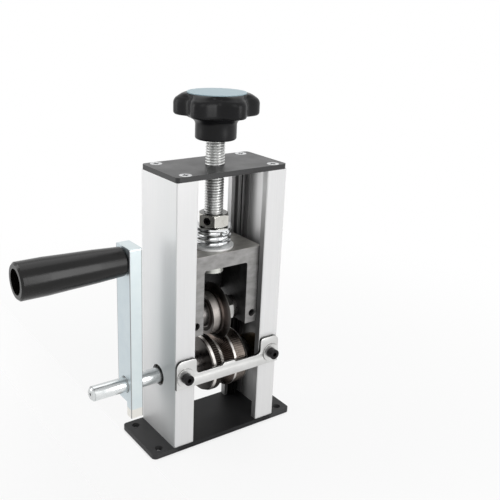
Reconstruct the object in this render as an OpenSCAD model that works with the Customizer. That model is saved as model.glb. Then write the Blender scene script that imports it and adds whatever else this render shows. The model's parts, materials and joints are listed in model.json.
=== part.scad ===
/* [Base plate] */
// Length of the base plate, left to right
base_l = 111; // [108:1:140]
// Depth of the base plate, front to back
base_d = 43; // [42:0.5:60]
// Thickness of the base plate
base_t = 3.2; // [2.5:0.1:6]
// Corner radius of the base plate
base_corner_r = 3; // [1:0.5:6]
// Diameter of the bench mounting holes
mount_hole_d = 5.2; // [4:0.1:6]
// Distance from a plate end to the mounting holes
mount_inset_x = 7; // [5:0.5:9]
// Distance from the plate front or back to the mounting holes
mount_inset_y = 6; // [5:0.5:10]

/* [Columns] */
// Outer width over both columns
frame_w = 80; // [80:1:96]
// Width of one column seen from the front
column_w = 14.7; // [14.2:0.1:15.2]
// Depth of a column, front to back
column_d = 42; // [40:0.5:44]
// Height of a column
column_h = 175.6; // [172:1:200]
// Wall on the outer side of a column
web_t = 2.5; // [2:0.1:3]
// Wall of the front and back flanges
flange_t = 2.5; // [2:0.1:3]
// Depth of the lip along the flange edge
lip_depth = 4.7; // [4:0.1:5]
// Width of the lip along the flange edge
lip_w = 2.6; // [2:0.1:3]
// Width of the groove between lip and screw port
port_groove_w = 1.5; // [1:0.1:2]
// Width of the block round a screw port
port_block_w = 5; // [5:0.1:5.6]
// Depth of the block round a screw port
port_block_depth = 7.1; // [6.8:0.1:7.6]
// Distance from the column face to the screw port axis
port_inset = 4; // [3.6:0.1:4.4]
// Width of the shallow groove in the web
web_groove_w = 2.3; // [1.5:0.1:3]
// Depth of the shallow groove in the web
web_groove_depth = 0.8; // [0.4:0.1:1.2]
// Distance from the column face to the web groove
web_groove_inset = 7.5; // [7.2:0.1:10]
// Bevel along the outer edges of a column
column_bevel = 0.5; // [0.2:0.1:1]

/* [Top plate] */
// Thickness of the top plate
top_t = 3.2; // [2.5:0.1:6]
// Corner radius of the top plate
top_corner_r = 2.5; // [0.5:0.5:3]
// Thread diameter of the plate screws
plate_screw_d = 4; // [3.5:0.1:4.2]
// Head diameter of the plate screws
plate_screw_head_d = 7.6; // [7:0.1:8]
// Length of the plate screws
plate_screw_l = 14; // [10:1:20]

/* [Guide bar] */
// Thickness of the guide bar
bar_t = 2; // [1.5:0.1:3]
// Height of the guide bar's lower edge above the bench
bar_z = 46; // [42:0.5:48]
// Height of the bar between its ears
bar_h = 8.5; // [7:0.5:10]
// Height of the ears
bar_ear_h = 19.5; // [17:0.5:24]
// Radius of the ears' outer corners
bar_ear_r = 4.5; // [2:0.5:5]
// Radius of the ears' inner corners
bar_top_r = 1.5; // [1:0.5:4]
// Radius in the inner corners between bar and ears
bar_inner_r = 2.8; // [1:0.1:3.5]
// Height of the raised rest in the middle of the bar
bar_rest_h = 1.6; // [1:0.1:3]
// Width of the raised rest at its top
bar_rest_w = 7.6; // [6:0.2:12]
// Height of the bar screws above the bar's lower edge
bar_screw_up = 8; // [7:0.5:10]
// Distance from a column's outer face to its bar screw
bar_screw_inset = 6.4; // [6.2:0.1:7]
// Thread diameter of the bar screws
bar_screw_d = 4; // [4:0.5:5]
// Diameter of the bar screws' washers
bar_washer_d = 12; // [9:0.5:12]
// Thickness of the bar screws' washers
bar_washer_t = 1; // [0.8:0.1:1.6]

/* [Drive] */
// Diameter of the drive shaft
shaft_d = 10; // [8:0.5:12]
// Height of the drive shaft above the bench
shaft_z = 47; // [45:0.5:50]
// Length of shaft that stands out of the left column
shaft_out = 48; // [44:1:80]
// Diameter of the shaft's free end, turned down so that the arm slides over it
shaft_end_d = 9.6; // [7.6:0.1:11.6]
// Clearance hole for the shaft in a column
shaft_hole_d = 14; // [14:0.5:16]
// Outer diameter of the bronze bushings
bushing_d = 20.8; // [18:0.2:24]
// Length of a bushing inside its column
bushing_l = 10; // [8:0.5:11]
// Length of a bushing's spigot in the column wall
spigot_l = 0.6; // [0.4:0.1:1.8]
// Outer diameter of the feed roller
roller_d = 38.6; // [36:0.2:39]
// Length of the roller's hub, which reaches to the right bushing
roller_hub_l = 8.4; // [7:0.2:9]
// Width of the roller's knurled part
roller_w = 28; // [24:0.5:28.5]
// Width of the vee groove at the roller's surface
groove_w = 10.2; // [8:0.2:11]
// Depth of the vee groove
groove_depth = 6.8; // [6.4:0.1:8]
// Width of the flat at the bottom of the vee groove
groove_floor_w = 1.6; // [1:0.1:2]
// Width of the bevels on the roller's edges
roller_bevel_w = 2.6; // [1.5:0.1:3]
// Depth of the bevels on the roller's edges
roller_bevel_depth = 1; // [0.5:0.1:1.5]
// Diameter of the roller's hub
roller_hub_d = 20; // [18:0.5:24]
// Outer diameter of the spacer left of the roller
spacer_d = 16; // [14:0.5:20]
// Thread diameter of the set screws
set_screw_d = 5; // [4:0.5:5]

/* [Crank] */
// Distance from the shaft to the handle
crank_r = 83; // [70:1:100]
// Thickness of the crank arm along the shaft
arm_t = 8.2; // [7:0.2:10]
// Depth of the crank arm
arm_d = 17; // [16:0.5:22]
// Length of the arm below the shaft, at its front foot
arm_below = 20.6; // [19:0.2:24]
// Length of the arm below the shaft, behind its foot
arm_step = 11; // [10:0.2:14]
// Depth of the foot at the front of the arm's lower end
arm_foot_d = 5.7; // [5:0.1:6]
// Length of the arm above the handle
arm_above = 9.5; // [9:0.5:14]
// Gap between the left column and the crank arm
arm_gap = 16; // [16:0.5:20]
// Rounding of the arm's upper corners
arm_corner_r = 1.2; // [0.6:0.2:4]
// Length of the handle grip
grip_l = 65.4; // [60:1:90]
// Diameter of the grip at its outer end
grip_outer_d = 22.2; // [20:0.2:26]
// Diameter of the grip next to the arm
grip_inner_d = 17.9; // [16:0.2:20]
// Diameter of the recess in the grip's outer end
grip_recess_d = 15; // [14:0.2:15.4]
// Depth of the recess in the grip's outer end
grip_recess_l = 53; // [44:1:56]
// Thread diameter of the handle bolt
handle_bolt_d = 8; // [6:0.5:8]

/* [Feed screw] */
// Thread diameter of the feed screw
screw_d = 12; // [12:0.5:14]
// Pitch of the feed screw's thread
screw_pitch = 1.75; // [1:0.05:2]
// Height of the knob's underside above the top plate
knob_gap = 15.5; // [12:0.5:24]
// Diameter of the star knob over its lobes
knob_d = 52; // [48:1:60]
// Height of the star knob
knob_h = 27.6; // [26:0.2:32]
// Number of lobes on the star knob
knob_lobes = 6; // [5:1:8]
// Diameter of the knob's hub
knob_hub_d = 25.4; // [24:0.2:28]
// Diameter of the cap on top of the knob
cap_d = 36; // [30:0.5:38]
// Thickness of the cap
cap_t = 1; // [0.6:0.1:1.6]
// Distance across the flats of the stop nut
stop_nut_af = 18; // [17:0.5:20]
// Height of the stop nut
stop_nut_h = 8.4; // [7:0.2:10]
// Diameter of the upper washer
upper_washer_d = 24; // [22:0.5:26]
// Thickness of the upper washer
upper_washer_t = 1.3; // [1:0.1:2]
// Diameter of the lower washer
lower_washer_d = 26.6; // [24:0.2:28]
// Thickness of the lower washer
lower_washer_t = 1.3; // [1:0.1:2]
// Wire diameter of the pressure spring
spring_wire_d = 2.6; // [2:0.1:2.8]
// Outer diameter of the pressure spring
spring_d = 23.2; // [22:0.2:24]
// Number of turns of the pressure spring
spring_turns = 2.3; // [2:0.1:2.5]
// Height of the pressure spring between its washers
spring_h = 11.1; // [10.4:0.1:13]
// Diameter of the collar on the screw's lower end
collar_d = 14.2; // [13.8:0.2:16]
// Height of the collar on the screw's lower end
collar_h = 7; // [5:0.2:8]

/* [Cutter block] */
// Width of the sliding block
block_w = 53.6; // [52.4:0.2:54.4]
// Height of the sliding block
block_h = 52.7; // [50:0.5:56]
// Depth of the cutting edge in the roller's groove
disc_dip = 2.3; // [1.5:0.1:2.4]
// Height of the bar across the top of the block
block_bar_h = 9.7; // [8:0.1:12]
// Width of the window in the block
window_w = 32.8; // [32.8:0.2:36]
// Corner radius of the window
window_r = 1.5; // [0.5:0.1:3]
// Thickness of the wall behind the window
rear_wall_t = 4; // [3:0.2:5]
// Height of the wall behind the window
rear_wall_h = 27.5; // [20:0.5:28]
// Height of the cutter axle above the block's underside
axle_up = 6.7; // [6.2:0.1:9]
// Diameter of the cutter axle
axle_d = 10; // [8:0.5:10]
// Radial width of the cutting disc outside its ball bearing
disc_rim_w = 5; // [4.6:0.1:5.2]
// Thickness of the cutting disc
disc_t = 5; // [3:0.2:6]
// Radial width of the disc's ground bevel
disc_bevel = 3.4; // [2:0.1:3.6]
// Width of the flat left on the cutting edge
disc_edge_w = 0.4; // [0.2:0.1:0.6]
// Width of the collar that holds the ball bearing
disc_collar_w = 1.6; // [1:0.1:1.8]
// Wall of the collar round the ball bearing
disc_collar_wall = 1.7; // [1.2:0.1:1.8]
// Outer diameter of the ball bearing
bearing_d = 28; // [26:0.5:28]
// Bore of the ball bearing
bearing_bore = 15; // [14:0.5:16]
// Width of the ball bearing
bearing_w = 7; // [6:0.2:8]
// Distance across the flats of the axle nut
axle_nut_af = 16; // [15:0.5:17]
// Thickness of the axle nut
axle_nut_h = 7.6; // [6:0.2:8]

/* [Hidden] */
// Clearance of pieces that sit in one another without moving
seat_gap = 0.05;
// Radial clearance of a running fit
run_gap = 0.06;
// Clearance between faces that pass one another
slide_gap = 0.3;
// Length by which a cut runs past the face it opens
overrun = 1;
// Facets of round pieces
$fn = 64;

// Base and column positions
half_w = frame_w / 2;
lip_x = half_w - column_w;
half_d = column_d / 2;
column_top_z = base_t + column_h;
top_z = column_top_z + top_t;
web_x = half_w - web_t;
port_x0 = lip_x + lip_w + port_groove_w;
port_x = port_x0 + port_block_w / 2;
port_y = half_d - port_inset;
port_d = plate_screw_d + 2 * seat_gap;
port_slot_w = 1.4;
mount_x = base_l / 2 - mount_inset_x;
mount_y = base_d / 2 - mount_inset_y;
// Share of a plate screw's head diameter that its conical head is high
screw_cone_share = 0.27;
screw_cone_h = plate_screw_head_d * screw_cone_share;
// Cross recess of the plate screws
recess_w = 1.1;
recess_l = 4;
recess_depth = 1.2;

// Guide bar, its screws and washers
bar_y = -half_d - bar_t;
bar_screw_x = half_w - bar_screw_inset;
bar_screw_z = bar_z + bar_screw_up;
bar_hole_d = bar_screw_d + 2 * slide_gap;
bar_rest_slope = 1.5;
// Sizes of a socket head screw as shares of its thread diameter
cap_head_d_share = 1.7;
cap_head_h_share = 1;
hex_socket_share = 0.8;
socket_depth_share = 0.55;

// Shaft, bushings and roller
bushing_x = web_x - bushing_l;
roller_right_x = bushing_x - slide_gap - roller_hub_l;
roller_left = roller_w - roller_right_x;
groove_land_w = 4.1;
groove_x = roller_bevel_w + groove_land_w + groove_w / 2 - roller_left;
right_bevel_share = 0.7;
shaft_end_inset = 0.6;
shaft_tip = 1.4;
set_screw_l = 4.6;
// Sizes of a set screw's socket as shares of its thread diameter
grub_socket_share = 0.55;
grub_depth_share = 0.5;

// Crank and handle
arm_x = -half_w - arm_gap;
handle_z = shaft_z + crank_r;
grip_gap = slide_gap;
grip_x = arm_x - arm_t - grip_gap;
arm_bevel = 0.8;
crank_screw_l = arm_step - shaft_d / 2 - 2 * seat_gap;
bolt_head_share = 1.6;
bolt_head_h = 8;
bolt_tip_inset = 0.4;
grip_edge_r = 1.2;
// Share of the grip's length from the arm, and of its swell, along its outline
grip_run_shares = [0.02, 0.28, 0.52, 0.74, 0.88];
grip_swell_shares = [0, 0.465, 0.72, 1, 1];

// Heights of the cutter block, from the disc's edge in the roller's groove
disc_d = bearing_d + 2 * disc_rim_w;
axle_z = shaft_z + (roller_d + disc_d) / 2 - disc_dip;
block_z = axle_z - axle_up;
block_top_z = block_z + block_h;

// Feed screw and knob
knob_z = top_z + knob_gap;
hub_bevel = 1;
knob_top_z = knob_z + knob_h;
block_depth = column_d - 2 * (lip_depth + slide_gap);
half_block_d = block_depth / 2;
lower_washer_z = block_top_z;
spring_z = lower_washer_z + lower_washer_t;
upper_washer_z = spring_z + spring_h;
stop_nut_z = upper_washer_z + upper_washer_t + seat_gap;
block_bar_z = block_top_z - block_bar_h;
collar_top_z = block_bar_z - slide_gap;
journal_d = 8;
screw_tip_bevel = 1;
screw_hole_d = screw_d + 2 * slide_gap;
insert_d = 17;
insert_h = 16;
insert_inset = 1;
screw_in_knob = 19;
nut_bevel_share = 0.08;
// Heights of the knob's outline as shares of the knob's height
knob_flare_share = 0.36;
knob_under_share = 0.5;
knob_edge_share = 0.545;
knob_rim_share = 0.84;
knob_shoulder_share = 0.92;
// Radii of the knob's outline as shares of its outer radius
knob_flare_r_share = 0.74;
knob_rim_r_share = 0.965;
// Plan of the knob's lobes as shares of its outer radius
lobe_r_share = 0.36;
valley_r_share = 0.3;
valley_at_share = 1.12;
core_r_share = 0.86;
cap_recess = 0.6;

// Cutter block
rear_wall_z = block_bar_z - rear_wall_h;
axle_end_inset = 0.5;
axle_l = block_w - 2 * axle_end_inset;
leg_mid_x = (block_w + window_w) / 4;
block_bevel = 0.6;
disc_x = groove_x - disc_t / 2;
bearing_x = disc_x - bearing_w;
disc_collar_d = bearing_d + 2 * disc_collar_wall;
disc_bore_d = 21;
blade_slot_gap = 1;
blade_slot_x = disc_x - disc_collar_w - blade_slot_gap;
blade_slot_w = disc_collar_w + disc_t + 2 * blade_slot_gap;
sleeve_flange_d = 17.4;
// Sizes in the ball bearing as shares of the height between bore and outside
ring_share = 0.31;
ball_share = 0.68;
bearing_height = (bearing_d - bearing_bore) / 2;
ring_t = bearing_height * ring_share;
ball_d = bearing_height * ball_share;
ball_count = 9;
groove_radius_gap = 0.05;
seal_t = 0.8;
sleeve_end_x = disc_x + disc_t + slide_gap;
axle_nut_x = sleeve_end_x + seat_gap;

// Curls of the spring
rings_per_curl = 8;
wire_sides = 6;
spring_start_angle = 150;

// Shared shapes

// Rod along X from x0 to x1
module rod_x(d, x0, x1) {
    translate([x0, 0, 0])
        rotate([0, 90, 0])
            cylinder(d = d, h = x1 - x0);
}

// Rod along Y from y0 to y1
module rod_y(d, y0, y1) {
    translate([0, y0, 0])
        rotate([-90, 0, 0])
            cylinder(d = d, h = y1 - y0);
}

// Revolved outline along X, drawn as radius and distance
module turned_x(x0 = 0) {
    translate([x0, 0, 0])
        rotate([0, 90, 0])
            rotate_extrude()
                children();
}

// Flat washer or ring with its lower face at zero
module ring(od, id, h) {
    difference() {
        cylinder(d = od, h = h);
        translate([0, 0, -overrun])
            cylinder(d = id, h = h + 2 * overrun);
    }
}

// Flat outline of a plate with rounded corners
module rounded_outline(l, d, r) {
    square([l - 2 * r, d], center = true);
    square([l, d - 2 * r], center = true);
    for (sx = [-1, 1], sy = [-1, 1])
        translate([sx * (l / 2 - r), sy * (d / 2 - r)])
            circle(r = r);
}

// Rectangle between two corners
module area(x0, x1, y0, y1) {
    translate([x0, y0])
        square([x1 - x0, y1 - y0]);
}

// Countersunk screw with its head's face at zero, pointing down
module countersunk_screw(l) {
    difference() {
        union() {
            translate([0, 0, -screw_cone_h])
                cylinder(d1 = plate_screw_d, d2 = plate_screw_head_d, h = screw_cone_h);
            translate([0, 0, -l])
                cylinder(d = plate_screw_d, h = l - screw_cone_h);
        }
        for (a = [0, 90])
            rotate(a)
                translate([-recess_l / 2, -recess_w / 2, -recess_depth])
                    cube([recess_l, recess_w, recess_depth + overrun]);
    }
}

// Hole for a countersunk screw, from the head's face at zero down
module countersunk_hole(depth) {
    hole_d = plate_screw_d + 2 * slide_gap;
    head_d = plate_screw_head_d + 2 * seat_gap;
    translate([0, 0, -screw_cone_h])
        cylinder(d1 = plate_screw_d + 2 * seat_gap, d2 = head_d, h = screw_cone_h);
    cylinder(d = head_d, h = overrun);
    translate([0, 0, -depth - overrun])
        cylinder(d = hole_d, h = depth + overrun - screw_cone_h / 2);
}

// Set screw with a hex socket in its face at zero, pointing down
module set_screw(l) {
    socket_d = set_screw_d * grub_socket_share;
    socket_depth = set_screw_d * grub_depth_share;
    difference() {
        translate([0, 0, -l])
            cylinder(d = set_screw_d - 2 * seat_gap, h = l);
        translate([0, 0, -socket_depth])
            cylinder(d = socket_d, h = socket_depth + overrun, $fn = 6);
    }
}

// Places of the plate screws, seen from above
module at_ports() {
    for (sx = [-1, 1], sy = [-1, 1])
        translate([sx * port_x, sy * port_y, 0])
            children();
}

// Frame

module base_plate() {
    color([0.16, 0.16, 0.17])
        difference() {
            linear_extrude(base_t)
                rounded_outline(base_l, base_d, base_corner_r);
            for (sx = [-1, 1], sy = [-1, 1])
                translate([sx * mount_x, sy * mount_y, -overrun])
                    cylinder(d = mount_hole_d, h = base_t + 2 * overrun);
            at_ports()
                mirror([0, 0, 1])
                    countersunk_hole(base_t);
        }
}

module base_screws() {
    color([0.72, 0.73, 0.74])
        at_ports()
            mirror([0, 0, 1])
                countersunk_screw(plate_screw_l);
}

// Half of the column's section behind y = 0
module column_half_outline() {
    area(web_x, half_w, 0, half_d);
    area(lip_x, half_w, half_d - flange_t, half_d);
    area(lip_x, lip_x + lip_w, half_d - lip_depth, half_d);
    area(port_x0, port_x0 + port_block_w, half_d - port_block_depth, half_d);
}

// Corner bevel of the column's section
module corner_cut(x, y, sx) {
    translate([x, y])
        polygon([[-sx * overrun, overrun], [sx * column_bevel + sx * overrun, overrun],
            [-sx * overrun, -column_bevel - overrun]]);
}

// Section of the right column, open towards the middle of the frame
module column_outline() {
    difference() {
        for (s = [0, 1])
            mirror([0, s])
                column_half_outline();
        for (s = [0, 1])
            mirror([0, s]) {
                translate([port_x, port_y])
                    circle(d = port_d);
                area(port_x - port_slot_w / 2, port_x + port_slot_w / 2,
                    half_d - port_block_depth - overrun, port_y);
                area(web_x - overrun, web_x + web_groove_depth,
                    half_d - web_groove_inset - web_groove_w, half_d - web_groove_inset);
                corner_cut(lip_x, half_d, 1);
                corner_cut(half_w, half_d, -1);
            }
    }
}

module column() {
    color([0.78, 0.79, 0.8])
        difference() {
            translate([0, 0, base_t])
                linear_extrude(column_h)
                    column_outline();
            translate([0, 0, shaft_z])
                rod_x(shaft_hole_d, bushing_x, half_w + overrun);
            translate([bar_screw_x, 0, bar_screw_z])
                rod_y(bar_screw_d + 2 * seat_gap, -half_d - overrun, -half_d + port_block_depth + overrun);
        }
}

module right_column() {
    column();
}

module left_column() {
    mirror([1, 0, 0])
        column();
}

module top_plate() {
    color([0.2, 0.2, 0.21])
        translate([0, 0, column_top_z])
            difference() {
                linear_extrude(top_t)
                    rounded_outline(frame_w, column_d, top_corner_r);
                translate([0, 0, -overrun])
                    cylinder(d = screw_d + 2 * run_gap, h = top_t + 2 * overrun);
                at_ports()
                    translate([0, 0, top_t])
                        countersunk_hole(top_t);
            }
}

module top_screws() {
    color([0.8, 0.81, 0.82])
        translate([0, 0, top_z])
            at_ports()
                countersunk_screw(plate_screw_l);
}

// Front view of the guide bar
module guide_bar_outline() {
    foot_w = bar_rest_w + 2 * bar_rest_slope;
    ear_z = bar_z + bar_ear_h;
    rest_z = bar_z + bar_h;
    polygon([[-half_w, bar_z], [half_w, bar_z], [half_w, rest_z], [foot_w / 2, rest_z],
        [bar_rest_w / 2, rest_z + bar_rest_h], [-bar_rest_w / 2, rest_z + bar_rest_h],
        [-foot_w / 2, rest_z], [-half_w, rest_z]]);
    for (s = [0, 1])
        mirror([s, 0]) {
            area(lip_x + bar_top_r, half_w - bar_ear_r, bar_z, ear_z);
            area(lip_x, half_w, bar_z, ear_z - max(bar_ear_r, bar_top_r));
            translate([half_w - bar_ear_r, ear_z - bar_ear_r])
                circle(r = bar_ear_r);
            translate([lip_x + bar_top_r, ear_z - bar_top_r])
                circle(r = bar_top_r);
            difference() {
                area(lip_x - bar_inner_r, lip_x + bar_top_r, bar_z, rest_z + bar_inner_r);
                translate([lip_x - bar_inner_r, rest_z + bar_inner_r])
                    circle(r = bar_inner_r);
            }
        }
}

module guide_bar() {
    color([0.8, 0.8, 0.79])
        difference() {
            translate([0, -half_d, 0])
                rotate([90, 0, 0])
                    linear_extrude(bar_t)
                        guide_bar_outline();
            for (s = [-1, 1])
                translate([s * bar_screw_x, 0, bar_screw_z])
                    rod_y(bar_hole_d, bar_y - overrun, -half_d + overrun);
        }
}

// Socket head screw along Y with its head's seat at y = 0
module socket_screw_y(d, l) {
    head_d = d * cap_head_d_share;
    head_h = d * cap_head_h_share;
    socket_depth = d * socket_depth_share;
    difference() {
        union() {
            rod_y(d, -head_h / 2, l);
            rod_y(head_d, -head_h, 0);
        }
        translate([0, -head_h - overrun, 0])
            rotate([-90, 0, 0])
                cylinder(d = d * hex_socket_share, h = socket_depth + overrun, $fn = 6);
    }
}

module guide_bar_screws() {
    grip = bar_washer_t + bar_t + port_block_depth;
    color([0.09, 0.09, 0.1])
        for (s = [-1, 1])
            translate([s * bar_screw_x, bar_y - bar_washer_t, bar_screw_z])
                socket_screw_y(bar_screw_d, grip);
}

module guide_bar_washers() {
    color([0.8, 0.8, 0.8])
        for (s = [-1, 1])
            translate([s * bar_screw_x, bar_y, bar_screw_z])
                rotate([90, 0, 0])
                    ring(bar_washer_d, bar_screw_d + 2 * seat_gap, bar_washer_t);
}

// Bushing on the right, with its spigot in the column wall
module bushing() {
    color([0.72, 0.55, 0.28])
        translate([0, 0, shaft_z])
            difference() {
                union() {
                    rod_x(bushing_d, bushing_x, web_x);
                    rod_x(shaft_hole_d - 2 * seat_gap, bushing_x, web_x + spigot_l);
                }
                rod_x(shaft_d + 2 * run_gap, bushing_x - overrun, half_w);
            }
}

module right_bushing() {
    bushing();
}

module left_bushing() {
    mirror([1, 0, 0])
        bushing();
}

// Drive

module drive_shaft() {
    end_r = shaft_end_d / 2;
    left_x = -half_w - shaft_out;
    right_x = half_w - shaft_end_inset;
    seat_x = arm_x - arm_t - seat_gap;
    color([0.75, 0.77, 0.78])
        translate([0, 0, shaft_z]) {
            rod_x(shaft_d, seat_x, right_x);
            rod_x(shaft_end_d, left_x + shaft_tip, seat_x);
            translate([left_x, 0, 0])
                rotate([0, 90, 0])
                    cylinder(r1 = end_r - shaft_tip, r2 = end_r, h = shaft_tip);
        }
}

// Outline of the feed roller, radius against distance from its left face
module roller_outline() {
    r = roller_d / 2;
    rim = r - roller_bevel_depth;
    floor_r = r - groove_depth;
    mid = roller_left + groove_x;
    half = groove_w / 2;
    flat = groove_floor_w / 2;
    bore_r = shaft_d / 2 + seat_gap;
    hub_end = roller_w + roller_hub_l;
    land = roller_bevel_w * right_bevel_share;
    polygon([[bore_r, 0], [rim, 0], [r, roller_bevel_w], [r, mid - half],
        [floor_r, mid - flat], [floor_r, mid + flat], [r, mid + half],
        [r, roller_w - land], [rim, roller_w],
        [roller_hub_d / 2, roller_w], [roller_hub_d / 2, hub_end], [bore_r, hub_end]]);
}

module feed_roller() {
    hub_mid = roller_right_x + roller_hub_l / 2;
    color([0.36, 0.33, 0.31])
        translate([0, 0, shaft_z])
            difference() {
                turned_x(-roller_left)
                    roller_outline();
                translate([hub_mid, 0, 0])
                    cylinder(d = set_screw_d, h = roller_hub_d);
            }
}

module roller_set_screw() {
    hub_mid = roller_right_x + roller_hub_l / 2;
    color([0.1, 0.1, 0.1])
        translate([hub_mid, 0, shaft_z + roller_hub_d / 2 - seat_gap])
            set_screw(roller_hub_d / 2 - shaft_d / 2 - 2 * seat_gap);
}

module shaft_spacer() {
    color([0.4, 0.4, 0.41])
        translate([0, 0, shaft_z])
            difference() {
                rod_x(spacer_d, slide_gap - bushing_x, -roller_left - seat_gap);
                rod_x(shaft_d + 2 * seat_gap, -bushing_x, 0);
            }
}

// Side view of the crank arm, depth against height, round below and flat above
module arm_outline() {
    half = arm_d / 2;
    top = crank_r + arm_above;
    inner = half - arm_corner_r;
    area(half - arm_foot_d, half, -arm_below, 0);
    area(-half, half, -arm_step, top - arm_corner_r);
    area(-inner, inner, top - 2 * arm_corner_r, top);
    for (s = [-1, 1])
        translate([s * inner, top - arm_corner_r])
            circle(r = arm_corner_r);
}

module crank_arm() {
    color([0.72, 0.77, 0.78])
        translate([arm_x, 0, shaft_z])
            difference() {
                rotate([90, 0, -90])
                    linear_extrude(arm_t)
                        arm_outline();
                rod_x(shaft_d + 2 * seat_gap, -arm_t - overrun, overrun);
                translate([-arm_t - overrun, 0, 0])
                    rotate([0, 90, 0])
                        cylinder(d1 = shaft_d + 2 * overrun + 2 * arm_bevel, d2 = shaft_d,
                            h = overrun + arm_bevel);
                translate([0, 0, crank_r])
                    rod_x(handle_bolt_d + 2 * seat_gap, -arm_t - overrun, overrun);
                translate([-arm_t / 2, 0, -arm_step - overrun])
                    cylinder(d = set_screw_d, h = arm_step + overrun);
            }
}

module crank_set_screw() {
    color([0.1, 0.1, 0.1])
        translate([arm_x - arm_t / 2, 0, shaft_z - shaft_d / 2 - seat_gap - crank_screw_l])
            mirror([0, 0, 1])
                set_screw(crank_screw_l);
}

// Socket head bolt that the grip turns on
module handle_bolt() {
    head_d = handle_bolt_d * bolt_head_share;
    seat_x = grip_x - grip_l + grip_recess_l - grip_gap;
    color([0.3, 0.3, 0.31])
        translate([seat_x, 0, handle_z])
            difference() {
                union() {
                    rod_x(head_d, -bolt_head_h, 0);
                    rod_x(handle_bolt_d, -bolt_head_h / 2, arm_x - seat_x - bolt_tip_inset);
                }
                translate([-bolt_head_h - overrun, 0, 0])
                    rotate([0, 90, 0])
                        cylinder(d = handle_bolt_d * hex_socket_share,
                            h = bolt_head_h / 2 + overrun, $fn = 6);
            }
}

// Outline of the grip, radius against distance from its end at the arm
module grip_outline() {
    r0 = grip_inner_d / 2;
    swell = (grip_outer_d - grip_inner_d) / 2;
    bore_r = handle_bolt_d / 2 + run_gap;
    recess_r = grip_recess_d / 2;
    side = [for (i = [0 : len(grip_run_shares) - 1])
        [r0 + swell * grip_swell_shares[i], grip_l * grip_run_shares[i]]];
    polygon(concat([[bore_r, 0], [r0 - grip_edge_r, 0]], side,
        [[grip_outer_d / 2, grip_l - grip_edge_r], [grip_outer_d / 2 - grip_edge_r, grip_l],
        [recess_r, grip_l], [recess_r, grip_l - grip_recess_l], [bore_r, grip_l - grip_recess_l]]));
}

module handle_grip() {
    color([0.07, 0.07, 0.07])
        translate([grip_x, 0, handle_z])
            mirror([1, 0, 0])
                turned_x()
                    grip_outline();
}

// Feed screw

module feed_screw() {
    body_z = collar_top_z + seat_gap;
    body_top = knob_z + screw_in_knob;
    color([0.62, 0.63, 0.62]) {
        translate([0, 0, body_z])
            cylinder(d = screw_d, h = body_top - body_z - screw_tip_bevel);
        translate([0, 0, body_top - screw_tip_bevel])
            cylinder(d1 = screw_d, d2 = screw_d - 2 * screw_tip_bevel, h = screw_tip_bevel);
        translate([0, 0, collar_top_z - collar_h])
            cylinder(d = journal_d, h = collar_h + 2 * seat_gap);
    }
}

// Plan of the knob, with its lobes between scalloped valleys
module knob_plan() {
    r = knob_d / 2;
    step = 360 / knob_lobes;
    lobe_r = r * lobe_r_share;
    difference() {
        union() {
            circle(r = r * core_r_share);
            for (i = [0 : knob_lobes - 1])
                rotate(step * (i + 0.5))
                    translate([r - lobe_r, 0])
                        circle(r = lobe_r);
        }
        for (i = [0 : knob_lobes - 1])
            rotate(step * i)
                translate([r * valley_at_share, 0])
                    circle(r = r * valley_r_share);
    }
}

// Outline of the knob, radius against height
module knob_outline() {
    r = knob_d / 2;
    h = knob_h;
    hub_r = knob_hub_d / 2;
    cap_r = cap_d / 2 + seat_gap;
    polygon([[0, 0], [hub_r - hub_bevel, 0], [hub_r, hub_bevel], [hub_r, h * knob_flare_share],
        [r * knob_flare_r_share, h * knob_under_share], [r * knob_rim_r_share, h * knob_edge_share],
        [r, h * knob_edge_share + r - r * knob_rim_r_share], [r, h * knob_rim_share],
        [r * knob_rim_r_share, h * knob_shoulder_share - cap_recess],
        [cap_r + cap_recess, h], [cap_r, h], [cap_r, h - cap_recess], [0, h - cap_recess]]);
}

module star_knob() {
    color([0.1, 0.1, 0.11])
        translate([0, 0, knob_z])
            difference() {
                intersection() {
                    union() {
                        translate([0, 0, -overrun])
                            cylinder(d = knob_hub_d + overrun, h = knob_h);
                        translate([0, 0, knob_h * knob_flare_share - overrun])
                            linear_extrude(knob_h + overrun)
                                knob_plan();
                    }
                    rotate_extrude()
                        knob_outline();
                }
                translate([0, 0, -overrun])
                    cylinder(d = screw_d + 2 * seat_gap, h = screw_in_knob + overrun + seat_gap);
                translate([0, 0, -overrun])
                    cylinder(d = insert_d + 2 * seat_gap, h = overrun + insert_inset + insert_h + seat_gap);
            }
}

module knob_insert() {
    color([0.66, 0.66, 0.64])
        translate([0, 0, knob_z + insert_inset])
            ring(insert_d, screw_d + 2 * seat_gap, insert_h);
}

module knob_cap() {
    color([0.42, 0.66, 0.78])
        translate([0, 0, knob_top_z - cap_recess + seat_gap])
            cylinder(d = cap_d, h = cap_t);
}

// Hexagon with bevelled corners, its lower face at zero
module hex_body(af, h) {
    bevel = af * nut_bevel_share;
    tip_d = af / cos(30);
    intersection() {
        cylinder(d = tip_d, h = h, $fn = 6);
        rotate_extrude()
            polygon([[0, 0], [tip_d / 2 - bevel, 0], [tip_d / 2, bevel * tan(30)],
                [tip_d / 2, h - bevel * tan(30)], [tip_d / 2 - bevel, h], [0, h]]);
    }
}

// Direction of the stop nut's set screw, seen from above
stop_screw_turn = 210;

module stop_nut() {
    color([0.34, 0.33, 0.31])
        translate([0, 0, stop_nut_z])
            difference() {
                hex_body(stop_nut_af, stop_nut_h);
                translate([0, 0, -overrun])
                    cylinder(d = screw_d + 2 * seat_gap, h = stop_nut_h + 2 * overrun);
                translate([0, 0, stop_nut_h / 2])
                    rotate(stop_screw_turn)
                        rod_x(set_screw_d, 0, stop_nut_af);
            }
}

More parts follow.
